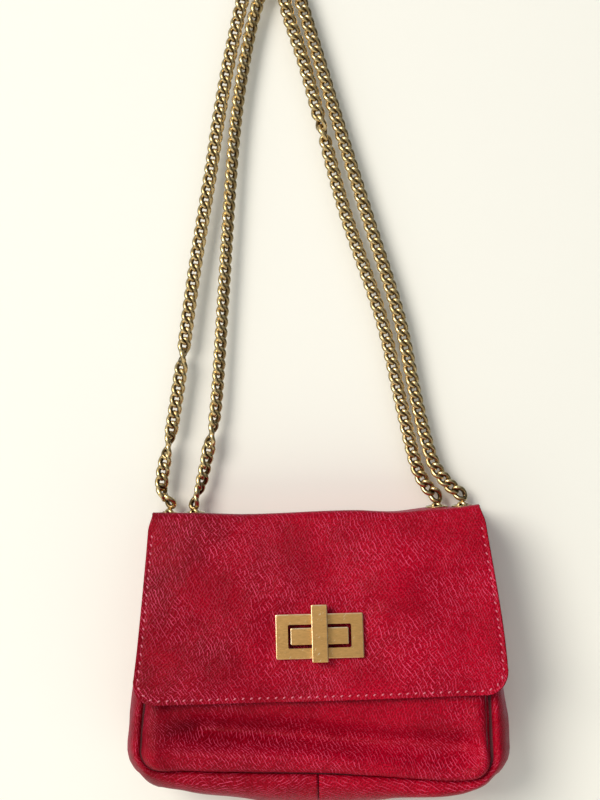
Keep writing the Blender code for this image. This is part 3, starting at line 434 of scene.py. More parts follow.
def smooth_curve(points, samples):
    """Run a smooth curve through the points, with the same number of samples on each stretch."""
    ends = [2 * points[0] - points[1]] + points + [2 * points[-1] - points[-2]]
    curve = [points[0]]
    for before, start, end, after in zip(ends, ends[1:], ends[2:], ends[3:]):
        for share in shares(samples)[1:]:
            square = share * share
            cube = square * share
            place = (2 * start + (end - before) * share
                     + (2 * before - 5 * start + 4 * end - after) * square
                     + (3 * start - before - 3 * end + after) * cube) / 2
            curve.append(place)
    return curve


def along_path(points, distances):
    """Give the place and the direction at each distance along a path of points."""
    found = []
    index = 0
    run = 0
    for distance in distances:
        length = (points[index + 1] - points[index]).length
        while run + length < distance and index < len(points) - 2:
            run += length
            index += 1
            length = (points[index + 1] - points[index]).length
        direction = (points[index + 1] - points[index]).normalized()
        found.append((points[index] + direction * (distance - run), direction))
    return found


def path_length(points):
    """Give the length of a path of points."""
    return sum((after - before).length for before, after in zip(points, points[1:]))


def mirrored(half_row):
    """Give a whole row of places from its right half, which starts in the middle."""
    return [-place for place in half_row[:0:-1]] + half_row


# Meshes

def finish_mesh(name, verts, faces, uvs, material):
    """Make an object from points in the bag's frame, with one UV place for each point."""
    mesh = bpy.data.meshes.new(name)
    mesh.from_pydata([tuple(point + BAG_ORIGIN) for point in verts], [], faces)
    layer = mesh.uv_layers.new(name="surface")
    for loop in mesh.loops:
        layer.data[loop.index].uv = uvs[loop.vertex_index]
    mesh.validate()
    mesh.shade_smooth()
    mesh.materials.append(material)
    piece = bpy.data.objects.new(name, mesh)
    bpy.context.collection.objects.link(piece)
    return piece


def surface_normals(grid):
    """Give the normal at each point of a grid of points, row by row in one list."""
    normals = []
    for row_index, row in enumerate(grid):
        above = grid[max(row_index - 1, 0)]
        below = grid[min(row_index + 1, len(grid) - 1)]
        for index in range(len(row)):
            left = row[max(index - 1, 0)]
            right = row[min(index + 1, len(row) - 1)]
            normal = (right - left).cross(below[index] - above[index])
            normals.append(normal.normalized())
    return normals


def surface_lengths(grid):
    """Give each point's distance across its row from the middle, and down the middle column."""
    middle = len(grid[0]) // 2
    places = []
    down = 0
    for row_index, row in enumerate(grid):
        if row_index:
            down += (row[middle] - grid[row_index - 1][middle]).length
        line = [0] * len(row)
        for index in range(middle + 1, len(row)):
            line[index] = line[index - 1] + (row[index] - row[index - 1]).length
        for index in range(middle - 1, -1, -1):
            line[index] = line[index + 1] - (row[index + 1] - row[index]).length
        places.extend((across, -down) for across in line)
    return places


def rim_rings(rim, verts, uvs, inwards, thickness, inner_start):
    """Add points that round a sheet's rim, and give the ring of points at each place on the rim."""
    sideways = {}
    for start, end in rim:
        side = (verts[end] - verts[start]).cross(-inwards[start])
        for place in (start, end):
            sideways[place] = sideways.get(place, Vector()) + side
    rings = {}
    for place, side in sideways.items():
        side = side.normalized()
        ring = [place]
        for share in shares(RIM_STEPS)[1:-1]:
            angle = share * math.pi
            point = verts[place] + inwards[place] * thickness / 2 * (1 - math.cos(angle))
            ring.append(len(verts))
            verts.append(point + side * thickness / 2 * math.sin(angle))
            uvs.append(uvs[place])
        rings[place] = ring + [inner_start + place]
    return rings


def skin(name, grid, thickness, outward, material, hole, shift, move):
    """Make a closed sheet of leather or cloth with rounded edges behind a grid of points."""
    if move:
        grid = [[move(point) for point in row] for row in grid]
    columns = len(grid[0])
    normals = surface_normals(grid)
    middle = normals[len(grid) // 2 * columns + columns // 2]
    sign = 1 if middle.dot(Vector(outward)) > 0 else -1
    inwards = [-normal * sign for normal in normals]
    verts = [point for row in grid for point in row]
    inner_start = len(verts)
    verts += [point + inward * thickness for point, inward in zip(verts, inwards)]
    uvs = [(across + shift[0], down + shift[1]) for across, down in surface_lengths(grid)] * 2
    faces = []
    edges = {}
    for row_index in range(len(grid) - 1):
        for index in range(columns - 1):
            if hole and hole(row_index, index):
                continue
            corner = row_index * columns + index
            quad = [corner, corner + 1, corner + columns + 1, corner + columns]
            if sign > 0:
                quad.reverse()
            faces.append(quad)
            faces.append([inner_start + place for place in reversed(quad)])
            edges.update(dict.fromkeys(zip(quad, quad[1:] + quad[:1])))
    rim = [edge for edge in edges if edge[::-1] not in edges]
    rings = rim_rings(rim, verts, uvs, inwards, thickness, inner_start)
    for start, end in rim:
        pairs = list(zip(rings[start], rings[end]))
        for (low_start, low_end), (high_start, high_end) in zip(pairs, pairs[1:]):
            faces.append([low_end, low_start, high_start, high_end])
    used = sorted({place for face in faces for place in face})
    order = {place: index for index, place in enumerate(used)}
    faces = [[order[place] for place in face] for face in faces]
    verts = [verts[place] for place in used]
    return finish_mesh(name, verts, faces, [uvs[place] for place in used], material)


def blend(piece, first_body, second_body, start, end):
    """Bake a piece's place into its mesh; the two bodies and the two depths it is given are not used."""
    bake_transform(piece)


def settled(point):
    """Give where a point of the soft body has sunk and swayed to."""
    down = -point.z
    front = FRONT_DEPTH + max(down, 0) * FRONT_SLOPE
    front_share = ease(*SEAM_SAG_SHARES, (BACK_DEPTH - point.y) / (BACK_DEPTH + front))
    sag = mix(table_value(BASE_SAG, point.x), table_value(SEAM_SAG, point.x), front_share)
    sag *= ease(*SAG_DOWN, down)
    sag += table_value(TOP_SAG, point.x) * (1 - ease(0, TOP_SAG_DEPTH, down))
    return point + Vector((SWAY * ease(*SWAY_DOWN, down), 0, -sag))


def sheet(name, nodes, slot, grid, thickness, outward, move=settled, hole=None, bend=None):
    """Make a sheet that replaces the named solids, and that rides on the bag, or is left on no body when a
    bend is given.

    outward says roughly which way the sheet's face looks, move gives where each point has settled, and
    hole says which patches are left out.
    """
    shift = GRAIN_SHIFTS.get(name, (0, 0))
    piece = skin(name, grid, thickness, outward, surfaces[slot], hole, shift, move)
    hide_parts(*nodes)
    if bend:
        blend(piece, *bend)
    else:
        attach(piece, "bag")


def stitches(name, places, material):
    """Make short threads with round ends, each at a place, along a direction and over a normal."""
    verts = []
    faces = []
    uvs = []
    for centre, along, normal in places:
        across = along.cross(normal).normalized()
        start = len(verts)
        for share, width_share in STITCH_PROFILE_SHARES:
            sag = normal * STITCH_RADIUS * (1 - width_share) * STITCH_SAG_SHARE
            for side in range(STITCH_SIDES):
                angle = 2 * math.pi * side / STITCH_SIDES
                offset = across * math.cos(angle) + normal * math.sin(angle)
                middle = centre + along * STITCH_LENGTH * share - sag
                verts.append(middle + offset * STITCH_RADIUS * width_share)
                uvs.append((share * STITCH_LENGTH, angle * STITCH_RADIUS))
        last = len(verts) - STITCH_SIDES
        for low in range(start, last, STITCH_SIDES):
            high = low + STITCH_SIDES
            for side in range(STITCH_SIDES):
                after = (side + 1) % STITCH_SIDES
                faces.append([low + side, low + after, high + after, high + side])
        faces.append([start + side for side in reversed(range(STITCH_SIDES))])
        faces.append([last + side for side in range(STITCH_SIDES)])
    return finish_mesh(name, verts, faces, uvs, material)


# Materials. Colours come in pairs that a pattern mixes, and a bump is a height and a strength. A grain
# of noise is its size, detail and roughness, then the range that is read and the range that is given.

METAL = (("Metallic", 1),)
MATT = (("Specular IOR Level", 0),)
LEATHER_GLOSS = (("Specular IOR Level", 0.07),)
CLOTH_SHEEN = (("Sheen Weight", 0.25), ("Sheen Roughness", 0.5))
CENTRE = (0.5, 0.5, 0.5)
MIDDLE_RANGE = (0.3, 0.7)
# Which of a mix node's sockets are which
MIX_FIRST_NUMBER = 2
MIX_SECOND_NUMBER = 3
MIX_FIRST_COLOUR = 6
MIX_SECOND_COLOUR = 7
MIX_COLOUR = 2

FLOW_WARPS = ((45 * MM, 12 * MM), (8 * MM, 2.6 * MM), (2.4 * MM, 1.15 * MM))
CREASE_TURN = 64 * DEGREE
CREASE_PITCH = 1.6 * MM
CROSS_TURN = -48 * DEGREE
CROSS_PITCH = 1.45 * MM
CREASE_WIDTH_SHARE = 0.14
CREASE_STRETCH = (0.5, 1, 1)
CREASE_BREAKS = (1.5 * MM, 0, 0.5, 0.4, 0.56, 0.05, 1)
CROSS_BREAKS = (2 * MM, 0, 0.5, 0.42, 0.62, 0.05, 0.42)
# painted sheen: broad patches that strengthen the creases' painted highlight
SHEEN_PATCHES = (30 * MM, 2, 0.5, 0.34, 0.64, 0.3, 0.95)
CLOUDS = (24 * MM, 3, 0.6, 0.3, 0.7, 0.05, 0.5)
GRIT = (0.8 * MM, 1, 0.5, 0.35, 0.62, 0, 0.6)
# painted shade: darker leather towards the bag's left, lighter towards its right
SIDE_SHADE_RANGE = (-85 * MM, 65 * MM, 0, 0.56)
REDS = ((0.19, 0, 0.006), (0.50, 0, 0.019))
DEEP_RED = (0.13, 0, 0.003)
# painted highlight: the pale pink on the crease lines
RIDGE_HIGHLIGHT_PINK = (0.82, 0.085, 0.185)
PEBBLE_BUMP = (0.4 * MM, 0.75)
PEBBLE_ROUGHNESS = (6 * MM, 2, 0.5, 0.3, 0.7, 0.32, 0.42)

SMOOTH_WARP = (2 * MM, 0.6 * MM)
SMOOTH_CELL = 0.9 * MM
SMOOTH_EDGE_SHARES = (0, 0.3)
SMOOTH_CLOUDS = (14 * MM, 3, 0.5, 0.3, 0.7)
SMOOTH_REDS = ((0.20, 0.004, 0.014), (0.27, 0.008, 0.022))
SMOOTH_BUMP = (0.08 * MM, 0.6)
SMOOTH_ROUGHNESS = (4 * MM, 2, 0.5, 0.3, 0.7, 0.46, 0.6)

WEAVE_WARP = (9 * MM, 0.25 * MM)
WEAVE_SIZE = 3.6 * MM
WEAVE_DISTORTION = 0.4
CLOTH_REDS = ((0.085, 0.010, 0.015), (0.17, 0.022, 0.033))
CLOTH_BUMP = (0.12 * MM, 0.7)
CLOTH_ROUGHNESS = 0.82

FIBRE_STRETCH = (1, 4, 1)
FIBRES = (3 * MM, 4, 0.7)
BOARD_GREYS = ((0.20, 0.155, 0.11), (0.31, 0.25, 0.19))
BOARD_BUMP = (0.15 * MM, 0.6)
BOARD_ROUGHNESS = 0.88

THREAD_TURN = 35 * DEGREE
THREAD_TWIST = 1.6 * MM
THREAD_PINKS = ((0.50, 0.07, 0.12), (0.80, 0.22, 0.29))
THREAD_BUMP = (0.06 * MM, 0.6)
THREAD_ROUGHNESS = 0.5

# painted highlight along a plate's edges: how far in its band lies, how it fades, and its patches
EDGE_HIGHLIGHT_INSET = 0.45 * MM
EDGE_FADE = 0.2 * MM
EDGE_PATCHES = (3 * MM, 2, 0.5, 0.3, 0.7, 0.35, 0.9)
BRUSH_STRETCH = (0.05, 1, 1)
BRUSH_LINES = (0.12 * MM, 3, 0.65)
PLATE_CLOUDS = (7 * MM, 3, 0.5, 0.35, 0.75, 0, 0.35)
SCRATCH_TURN = 50 * DEGREE
SCRATCH_WARP = (9 * MM, 0.8 * MM)
SCRATCH_STRETCH = (0.09, 1, 1)
SCRATCHES = (0.5 * MM, 1, 0.5, 0.70, 0.75)
SCRATCH_SHINE = 0.6
SCRATCH_DEPTH_SHARE = 0.8
PLATE_GOLDS = ((0.60, 0.325, 0.105), (0.78, 0.43, 0.15))
DULL_GOLD = (0.56, 0.295, 0.10)
# bright gold for the scratches' wear and for the painted edge highlight
SCRATCH_AND_HIGHLIGHT_GOLD = (0.95, 0.78, 0.52)
PLATE_BUMP = (0.012 * MM, 0.7)
PLATE_ROUGHNESS = (0.30, 0.42)

GRIME = (2.4 * MM, 4, 0.6)
GRIME_RANGE = (0.35, 0.68)
CHAIN_GOLDS = ((0.82, 0.62, 0.32), (0.52, 0.36, 0.15))
# painted shade: the dark brown on the inside of each link's wire
HOLLOW_SHADE_BROWN = (0.12, 0.075, 0.03)
HOLLOW_SHADE_SHARES = (0.1, 0.9)
SCUFFS = (0.5 * MM, 2)
CHAIN_BUMP = (0.02 * MM, 0.5)
CHAIN_ROUGHNESS = (0.17, 0.34)

STEEL_CLOUDS = (3 * MM, 3)
STEEL_RANGE = (0.35, 0.7)
STEEL_GREYS = ((0.62, 0.60, 0.56), (0.46, 0.45, 0.43))
STEEL_ROUGHNESS = (0.28, 0.42)
STEEL_GRAIN = (0.3 * MM, 2)
STEEL_BUMP = (0.01 * MM, 0.5)

CREAM = (0.93, 0.905, 0.84)
CREAM_ROUGHNESS = 0.9


class Nodes:
    """The node tree of a material or the world, with short calls that add and join nodes."""

    def __init__(self, owner):
        owner.use_nodes = True
        self.owner = owner
        self.tree = owner.node_tree

    def feed(self, socket, value):
        """Join an output to an input socket, or set the socket to a value."""
        if isinstance(value, bpy.types.NodeSocket):
            self.tree.links.new(value, socket)
        elif socket.type == "RGBA":
            socket.default_value = (*value, 1)
        else:
            socket.default_value = value

    def add(self, kind, result=0, inputs=(), **settings):
        """Add a node, set its properties and feed its inputs, and give one of its outputs."""
        node = self.tree.nodes.new("ShaderNode" + kind)
        for name, value in settings.items():
            setattr(node, name, value)
        for name, value in inputs:
            self.feed(node.inputs[name], value)
        return node.outputs[result]

    def place(self, source, scale=(1, 1, 1), turn=0):
        """Give the places on a surface, scaled and turned."""
        return self.mapped(self.add("TexCoord", source), scale, turn)

    def mapped(self, vector, scale=(1, 1, 1), turn=0):
        """Scale places and then turn them."""
        inputs = (("Vector", vector), ("Rotation", (0, 0, turn)), ("Scale", scale))
        return self.add("Mapping", "Vector", inputs)

    def axis(self, vector, name):
        """Give one axis of a vector."""
        return self.add("SeparateXYZ", name, (("Vector", vector),))

    def noise(self, vector, size, detail, roughness=1 / 2):
        """Give noise with lumps of a given size."""
        inputs = (("Vector", vector), ("Scale", 1 / size), ("Detail", detail), ("Roughness", roughness))
        return self.add("TexNoise", "Fac", inputs)

    def span(self, value, low, high, to_low=0, to_high=1):
        """Stretch a range of values smoothly to another one."""
        inputs = (("Value", value), ("From Min", low), ("From Max", high),
                  ("To Min", to_low), ("To Max", to_high))
        return self.add("MapRange", "Result", inputs, interpolation_type="SMOOTHSTEP")

    def grain(self, vector, size, detail, roughness, *ranges):
        """Give noise stretched to a range."""
        return self.span(self.noise(vector, size, detail, roughness), *ranges)

    def math(self, operation, first, second=0):
        """Join two values, each an output socket or a number."""
        return self.add("Math", "Value", ((0, first), (1, second)), operation=operation)

    def vectors(self, operation, first, name, second):
        """Join two vectors, or a vector and a scale."""
        result = "Value" if operation == "DOT_PRODUCT" else "Vector"
        return self.add("VectorMath", result, ((0, first), (name, second)), operation=operation)

    def warp(self, vector, size, reach):
        """Push places about by noise."""
        texture = self.add("TexNoise", "Color", (("Vector", vector), ("Scale", 1 / size), ("Detail", 0)))
        centred = self.vectors("SUBTRACT", texture, 1, CENTRE)
        return self.vectors("ADD", vector, 1, self.vectors("SCALE", centred, "Scale", reach))

    def colours(self, value, first, second):
        """Mix two colours by a value. Each is a colour or an output socket."""
        inputs = ((0, value), (MIX_FIRST_COLOUR, first), (MIX_SECOND_COLOUR, second))
        return self.add("Mix", MIX_COLOUR, inputs, data_type="RGBA")

    def bump(self, height, distance, strength):
        """Turn a height into a normal."""
        inputs = (("Distance", distance), ("Strength", strength), ("Height", height))
        return self.add("Bump", "Normal", inputs)

    def bands(self, vector, size, distortion=0, direction="X"):
        """Give bands of a given size across one direction."""
        inputs = (("Vector", vector), ("Scale", 1 / size), ("Distortion", distortion))
        return self.add("TexWave", "Fac", inputs, bands_direction=direction)

    def finish(self, colour, roughness, normal, constants=()):
        """Feed the shader's inputs, set its constant values and give the material."""
        shader = self.tree.nodes["Principled BSDF"]
        results = (("Base Color", colour), ("Roughness", roughness), ("Normal", normal))
        for name, value in constants + results:
            if value is not None:
                self.feed(shader.inputs[name], value)
        return self.owner


def surface(name):
    """Start a material."""
    return Nodes(bpy.data.materials.new(name))


def creases(nodes, flowing, turn, pitch):
    """Give wavy creases that run one way: how close a place is to one, and a triangle wave."""
    across = nodes.axis(nodes.mapped(flowing, turn=turn), "Y")
    wave = nodes.math("PINGPONG", nodes.math("DIVIDE", across, pitch), 1 / 2)
    return nodes.span(wave, 0, CREASE_WIDTH_SHARE, 1, 0), wave


def pebbled_leather():
    """Red leather with small leaning pebbles between two families of broken creases, with a painted highlight
    on the creases, painted sheen patches, and painted shade darker towards the bag's left.
    """
    nodes = surface("pebbled_leather_surface")
    straight = nodes.place("UV")
    flowing = straight
    for size, reach in FLOW_WARPS:
        flowing = nodes.warp(flowing, size, reach)
    along, along_wave = creases(nodes, flowing, CREASE_TURN, CREASE_PITCH)
    over, over_wave = creases(nodes, flowing, CROSS_TURN, CROSS_PITCH)
    stretched = nodes.mapped(nodes.mapped(straight, turn=CREASE_TURN), CREASE_STRETCH)
    # painted highlight: the broken crease lines of both families take a pale pink that stands in for light
    # caught on the grain's ridges
    ridge = nodes.math("MAXIMUM", nodes.math("MULTIPLY", along, nodes.grain(stretched, *CREASE_BREAKS)),
                       nodes.math("MULTIPLY", over, nodes.grain(straight, *CROSS_BREAKS)))
    # painted shade: the leather's red runs darker towards the bag's left and lighter towards its right, by
    # place across
    side_shade = nodes.span(nodes.axis(nodes.place("Object"), "X"), *SIDE_SHADE_RANGE)
    body = nodes.colours(nodes.math("ADD", side_shade, nodes.grain(straight, *CLOUDS)), *REDS)
    body = nodes.colours(nodes.grain(straight, *GRIT), body, DEEP_RED)
    # painted sheen: broad patches make the painted crease highlight stronger in some places and weaker in
    # others
    pale = nodes.math("MULTIPLY", ridge, nodes.grain(straight, *SHEEN_PATCHES))
    normal = nodes.bump(nodes.math("MINIMUM", along_wave, over_wave), *PEBBLE_BUMP)
    roughness = nodes.grain(straight, *PEBBLE_ROUGHNESS)
    return nodes.finish(nodes.colours(pale, body, RIDGE_HIGHLIGHT_PINK), roughness, normal, LEATHER_GLOSS)


def smooth_leather():
    """Dark red leather with a finer grain, for the facing and the flap's underside."""
    nodes = surface("smooth_leather_surface")
    straight = nodes.place("UV")
    inputs = (("Vector", nodes.warp(straight, *SMOOTH_WARP)), ("Scale", 1 / SMOOTH_CELL))
    edge = nodes.add("TexVoronoi", "Distance", inputs, feature="DISTANCE_TO_EDGE", voronoi_dimensions="2D")
    colour = nodes.colours(nodes.grain(straight, *SMOOTH_CLOUDS), *SMOOTH_REDS)
    normal = nodes.bump(nodes.span(edge, *SMOOTH_EDGE_SHARES), *SMOOTH_BUMP)
    return nodes.finish(colour, nodes.grain(straight, *SMOOTH_ROUGHNESS), normal)


def lining_cloth():
    """Closely woven dark red cloth."""
    nodes = surface("lining_cloth_surface")
    warped = nodes.warp(nodes.place("UV"), *WEAVE_WARP)
    threads = [nodes.bands(warped, WEAVE_SIZE, WEAVE_DISTORTION, direction) for direction in ("X", "Y")]
    height = nodes.math("MULTIPLY", *threads)
    colour = nodes.colours(nodes.span(height, 0, 1), *CLOTH_REDS)
    return nodes.finish(colour, CLOTH_ROUGHNESS, nodes.bump(height, *CLOTH_BUMP), CLOTH_SHEEN)


def board():
    """Grey pressed board with fibres."""
    nodes = surface("board_surface")
    fibre = nodes.noise(nodes.place("Object", FIBRE_STRETCH), *FIBRES)
    colour = nodes.colours(nodes.span(fibre, *MIDDLE_RANGE), *BOARD_GREYS)
    return nodes.finish(colour, BOARD_ROUGHNESS, nodes.bump(fibre, *BOARD_BUMP))


def thread():
    """Pale pink waxed thread with a twist."""
    nodes = surface("thread_surface")
    twist = nodes.bands(nodes.place("UV", turn=THREAD_TURN), THREAD_TWIST)
    colour = nodes.colours(twist, *THREAD_PINKS)
    return nodes.finish(colour, THREAD_ROUGHNESS, nodes.bump(twist, *THREAD_BUMP))


def edge_highlight(nodes, node):
    """Give how strongly a flat piece's outer edges take the patchy painted highlight, from the places of its
    four sides.
    """
    low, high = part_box(node)
    centre = (low + high) / 2
    place = nodes.place("Object")
    beyond = []
    for axis, middle, half in (("X", centre.x, (high.x - low.x) / 2), ("Z", centre.z, (high.z - low.z) / 2)):
        away = nodes.math("ABSOLUTE", nodes.math("SUBTRACT", nodes.axis(place, axis), middle))
        beyond.append(nodes.span(away, half - EDGE_HIGHLIGHT_INSET - EDGE_FADE, half - EDGE_HIGHLIGHT_INSET + EDGE_FADE))
    return nodes.math("MULTIPLY", nodes.math("MAXIMUM", *beyond), nodes.grain(place, *EDGE_PATCHES))


def brushed_gold(node):
    """Satin gold with fine level brush lines, a few leaning scratches and a patchy painted highlight along
    its edges.
    """
    nodes = surface("brushed_gold_" + node)
    place = nodes.place("Object")
    brush = nodes.noise(nodes.place("Object", BRUSH_STRETCH), *BRUSH_LINES)
    tilt = (("Vector", nodes.warp(place, *SCRATCH_WARP)), ("Rotation", (0, SCRATCH_TURN, 0)))
    scratch = nodes.grain(nodes.mapped(nodes.add("Mapping", "Vector", tilt), SCRATCH_STRETCH), *SCRATCHES)
    base = nodes.colours(nodes.span(brush, *MIDDLE_RANGE), *PLATE_GOLDS)
    base = nodes.colours(nodes.grain(place, *PLATE_CLOUDS), base, DULL_GOLD)
    # painted highlight: a patchy bright band along the plate's four edges, where its bevels catch light,
    # joins the scratches' real wear
    scratches_and_edge_highlight = nodes.math("MAXIMUM", nodes.math("MULTIPLY", scratch, SCRATCH_SHINE), edge_highlight(nodes, node))
    height = nodes.math("SUBTRACT", brush, nodes.math("MULTIPLY", scratch, SCRATCH_DEPTH_SHARE))
    roughness = nodes.span(brush, *MIDDLE_RANGE, *PLATE_ROUGHNESS)
    colour = nodes.colours(scratches_and_edge_highlight, base, SCRATCH_AND_HIGHLIGHT_GOLD)
    return nodes.finish(colour, roughness, nodes.bump(height, *PLATE_BUMP), METAL)


def antique_gold(source="UV"):
    """Gold plate mottled by grime noise, and on the chain painted shade in dark brown on the inside of each
    link's wire.

    The chain's UV runs round each link and round its wire, so that the hollow inside is known.
    """
    nodes = surface("antique_gold_surface_" + source.lower())
    place = nodes.place("Object")
    grime = nodes.noise(place, *GRIME)
    colour = nodes.colours(nodes.span(grime, *GRIME_RANGE), *CHAIN_GOLDS)
    if source == "UV":
        # painted shade: the inside of each link's wire, which faces the link's hollow, turns dark brown
        inside = nodes.span(nodes.axis(nodes.place("UV"), "Y"), *HOLLOW_SHADE_SHARES)
        colour = nodes.colours(inside, colour, HOLLOW_SHADE_BROWN)
    roughness = nodes.span(grime, *MIDDLE_RANGE, *CHAIN_ROUGHNESS)
    return nodes.finish(colour, roughness, nodes.bump(nodes.noise(place, *SCUFFS), *CHAIN_BUMP), METAL)


def steel():
    """Plain zinc-plated steel with dull patches."""
    nodes = surface("steel_surface")
    place = nodes.place("Object")
    cloud = nodes.noise(place, *STEEL_CLOUDS)
    colour = nodes.colours(nodes.span(cloud, *STEEL_RANGE), *STEEL_GREYS)
    roughness = nodes.span(cloud, *MIDDLE_RANGE, *STEEL_ROUGHNESS)
    return nodes.finish(colour, roughness, nodes.bump(nodes.noise(place, *STEEL_GRAIN), *STEEL_BUMP), METAL)


# Body leather

def round_end(side, radius, fall):
    """Narrow a half-width where a fall past the start of a round corner has brought it in."""
    fall = min(fall, radius)
    return side - radius + math.sqrt(radius * radius - fall * fall)


def half_width(down, inset=0):
    """Give the panels' half-width at a distance below the yoke's top."""
    share = min(down, CORNER_TOP) / CORNER_TOP
    side = mix(BODY_TOP_HALF_WIDTH, BODY_BOTTOM_HALF_WIDTH, share) - inset
    return side if down <= CORNER_TOP else round_end(side, PANEL_CORNER - inset, down - CORNER_TOP)


def edge_distance(x, down):
    """Give how far inside the panels' outline a place lies."""
    centre_x = BODY_BOTTOM_HALF_WIDTH - PANEL_CORNER
    if abs(x) > centre_x and down > CORNER_TOP:
        return PANEL_CORNER - math.hypot(abs(x) - centre_x, down - CORNER_TOP)
    return min(half_width(down) - abs(x), PANEL_HEIGHT - down)


def groove_width(x, down):
    """Give how wide the floor of the seam's groove is: wide at the sides and narrow below."""
    side = RIGHT_GROOVE if x > 0 else LEFT_GROOVE
    return mix(BASE_GROOVE, side, ease(*GROOVE_FADE, CORNER_TOP - down + abs(x) - BODY_BOTTOM_HALF_WIDTH))


def seam_roll(distance):
    """Give how far a stuffed panel has rolled back at a distance from its seam."""
    if distance >= SEAM_ROLL:
        return 0
    rest = 1 - max(distance, 0) / SEAM_ROLL
    return SEAM_ROLL_DEPTH * (1 - math.sqrt(max(1 - rest * rest, 0)))


def roll_steps():
    """Give the distances from a seam at which a rolled edge turns evenly."""
    turns = [BASE_GROOVE + SEAM_ROLL * (1 - cosine) for cosine, sine in quarter_turn(ROLL_STEPS)]
    return [0, BASE_GROOVE] + turns + [SEAM_ROLL + RIGHT_GROOVE]


def puff(x, down):
    """Give how far the solid front panel swells at a place."""
    across_share = min(abs(x) / BODY_BOTTOM_HALF_WIDTH, 1)
    down_share = min(abs(2 * down / PANEL_HEIGHT - 1), 1)
    return PANEL_PUFF * (1 - across_share ** PUFF_POWER) * (1 - down_share ** PUFF_POWER)


def front_swell(x, down):
    """Give how far the front panel's leather stands out."""
    lower = ease(*LOWER_PANEL, down)
    trough_down = TROUGH_DOWN + TROUGH_FALL * ease(*TROUGH_SLANT, x)
    trough_width = TROUGH_WIDTH if down < trough_down else TROUGH_LOWER_WIDTH
    inside = half_width(down) - abs(x)
    reach = ease(*(TROUGH_LEFT_END if x < 0 else TROUGH_RIGHT_END), inside)
    trough = TROUGH_DEPTH * hump(down, trough_down, trough_width) * reach
    puffed = LOWER_PUFF * hump(down, PUFF_DOWN, LOWER_PUFF_WIDTH) * ease(*LOWER_PUFF_EDGE, inside)
    puffed *= 1 - LOWER_PUFF_FADE_SHARE * ease(*LOWER_PUFF_FADE, x)
    roll = (LEFT_ROLL if x < 0 else RIGHT_ROLL) * hump(inside, ROLL_INSIDE, ROLL_WIDTH) * lower
    crumple = waves(x, down * CRUMPLE_STRETCH_SHARE, *CRUMPLE) * lower
    crumple += waves(x + down * FINE_CRUMPLE_LEAN_SHARE, down, *FINE_CRUMPLE) * lower
    return puff(x, down) - trough + puffed + roll + crumple


def front_point(x, down):
    """Give a place on the front panel's leather."""
    distance = max(edge_distance(x, down) - groove_width(x, down), 0)
    out = front_swell(x, down) - seam_roll(distance) * ease(*PANEL_TOP_FADE, down)
    depth = FRONT_DEPTH + down * FRONT_SLOPE + out * LEAN_STRETCH
    return Vector((x, -depth, -down))


def row_columns(reach):
    """Give the places across a row of the front panel, as many in each row, with its ends rolled."""
    band = SEAM_ROLL + RIGHT_GROOVE
    ends = [BODY_BOTTOM_HALF_WIDTH - step for step in roll_steps()]
    places = []
    for place in spaced(0, ends[-1], GRID_STEP)[:-1] + ends[::-1]:
        if BODY_BOTTOM_HALF_WIDTH - place <= band:
            places.append(reach - (BODY_BOTTOM_HALF_WIDTH - place))
        else:
            places.append(place / (BODY_BOTTOM_HALF_WIDTH - band) * (reach - band))
    return mirrored(places)


def make_front_panel():
    """Make the stuffed front panel's leather, with its edges rolled back into the seam."""
    steps = roll_steps()
    levels = spaced(FRONT_TOP, CORNER_TOP - LOWER_BAND, COARSE_STEP)
    levels += spaced(CORNER_TOP - LOWER_BAND, PANEL_HEIGHT - steps[-1], MEDIUM_STEP)[1:]
    levels += [PANEL_HEIGHT - step for step in steps[-2::-1]]
    grid = [[front_point(x, down) for x in row_columns(half_width(down))] for down in levels]
    sheet("front_panel_leather", ("front_panel",), "pebbled_leather", grid, PANEL_LEATHER, (0, -1, 0))


def spine_rise(depth):
    """Give how far the level part of the flap has risen towards its fold at a depth."""
    share = clamp((depth - SPINE_BACK) / (SPINE_FRONT - SPINE_BACK))
    return FOLD_RISE * (1 - math.cos(share * math.pi)) / 2


def eyelet_holes(grid, lowest):
    """Give a test for the patches above a height that lie in one of the four holes for the eyelets."""
    def hole(row_index, index):
        """Say whether a patch lies in a hole."""
        middle = (grid[row_index][index] + grid[row_index + 1][index + 1]) / 2
        if middle.z < lowest:
            return False
        return any(math.hypot(abs(middle.x) - centre, middle.y) < EYELET_BARREL
                   for centre in (INNER_EYELET_X, OUTER_EYELET_X))

    return hole


def back_profile():
    """Give the back and top's profile as depth and drop, from the seam below up to the flap."""
    steps = roll_steps()
    profile = [(BACK_DEPTH, PANEL_HEIGHT - step) for step in steps]
    downs = spaced(PANEL_HEIGHT - steps[-1], TOP_EDGE_ROUND, GRID_STEP)
    profile += [(BACK_DEPTH, down) for down in downs[1:]]
    profile += [(BACK_DEPTH - TOP_EDGE_ROUND * (1 - cosine), TOP_EDGE_ROUND * (1 - sine))
                for cosine, sine in quarter_turn(TOP_EDGE_STEPS)]
    levels = spaced(BACK_DEPTH - TOP_EDGE_ROUND, HOLE_REACH, YOKE_STEP)[1:-1]
    levels += spaced(HOLE_REACH, -HOLE_REACH, HOLE_STEP)
    levels += spaced(-HOLE_REACH, -BLEND_START, FINE_STEP)[1:]
    levels += spaced(-BLEND_START, -BLEND_END, BLEND_STEP)[1:]
    levels += spaced(-BLEND_END, -SPINE_SPLIT, MEDIUM_STEP)[1:]
    return profile + [(depth, -spine_rise(-depth)) for depth in levels]


def hole_columns():
    """Give the places across from the middle to the outer eyelet, close together at the eyelets."""
    inner, outer = [spaced(centre - HOLE_REACH, centre + HOLE_REACH, HOLE_STEP)
                    for centre in (INNER_EYELET_X, OUTER_EYELET_X)]
    between = spaced(inner[-1], outer[0], MEDIUM_STEP)[1:-1]
    return spaced(0, inner[0], GRID_STEP)[:-1] + inner + between + outer


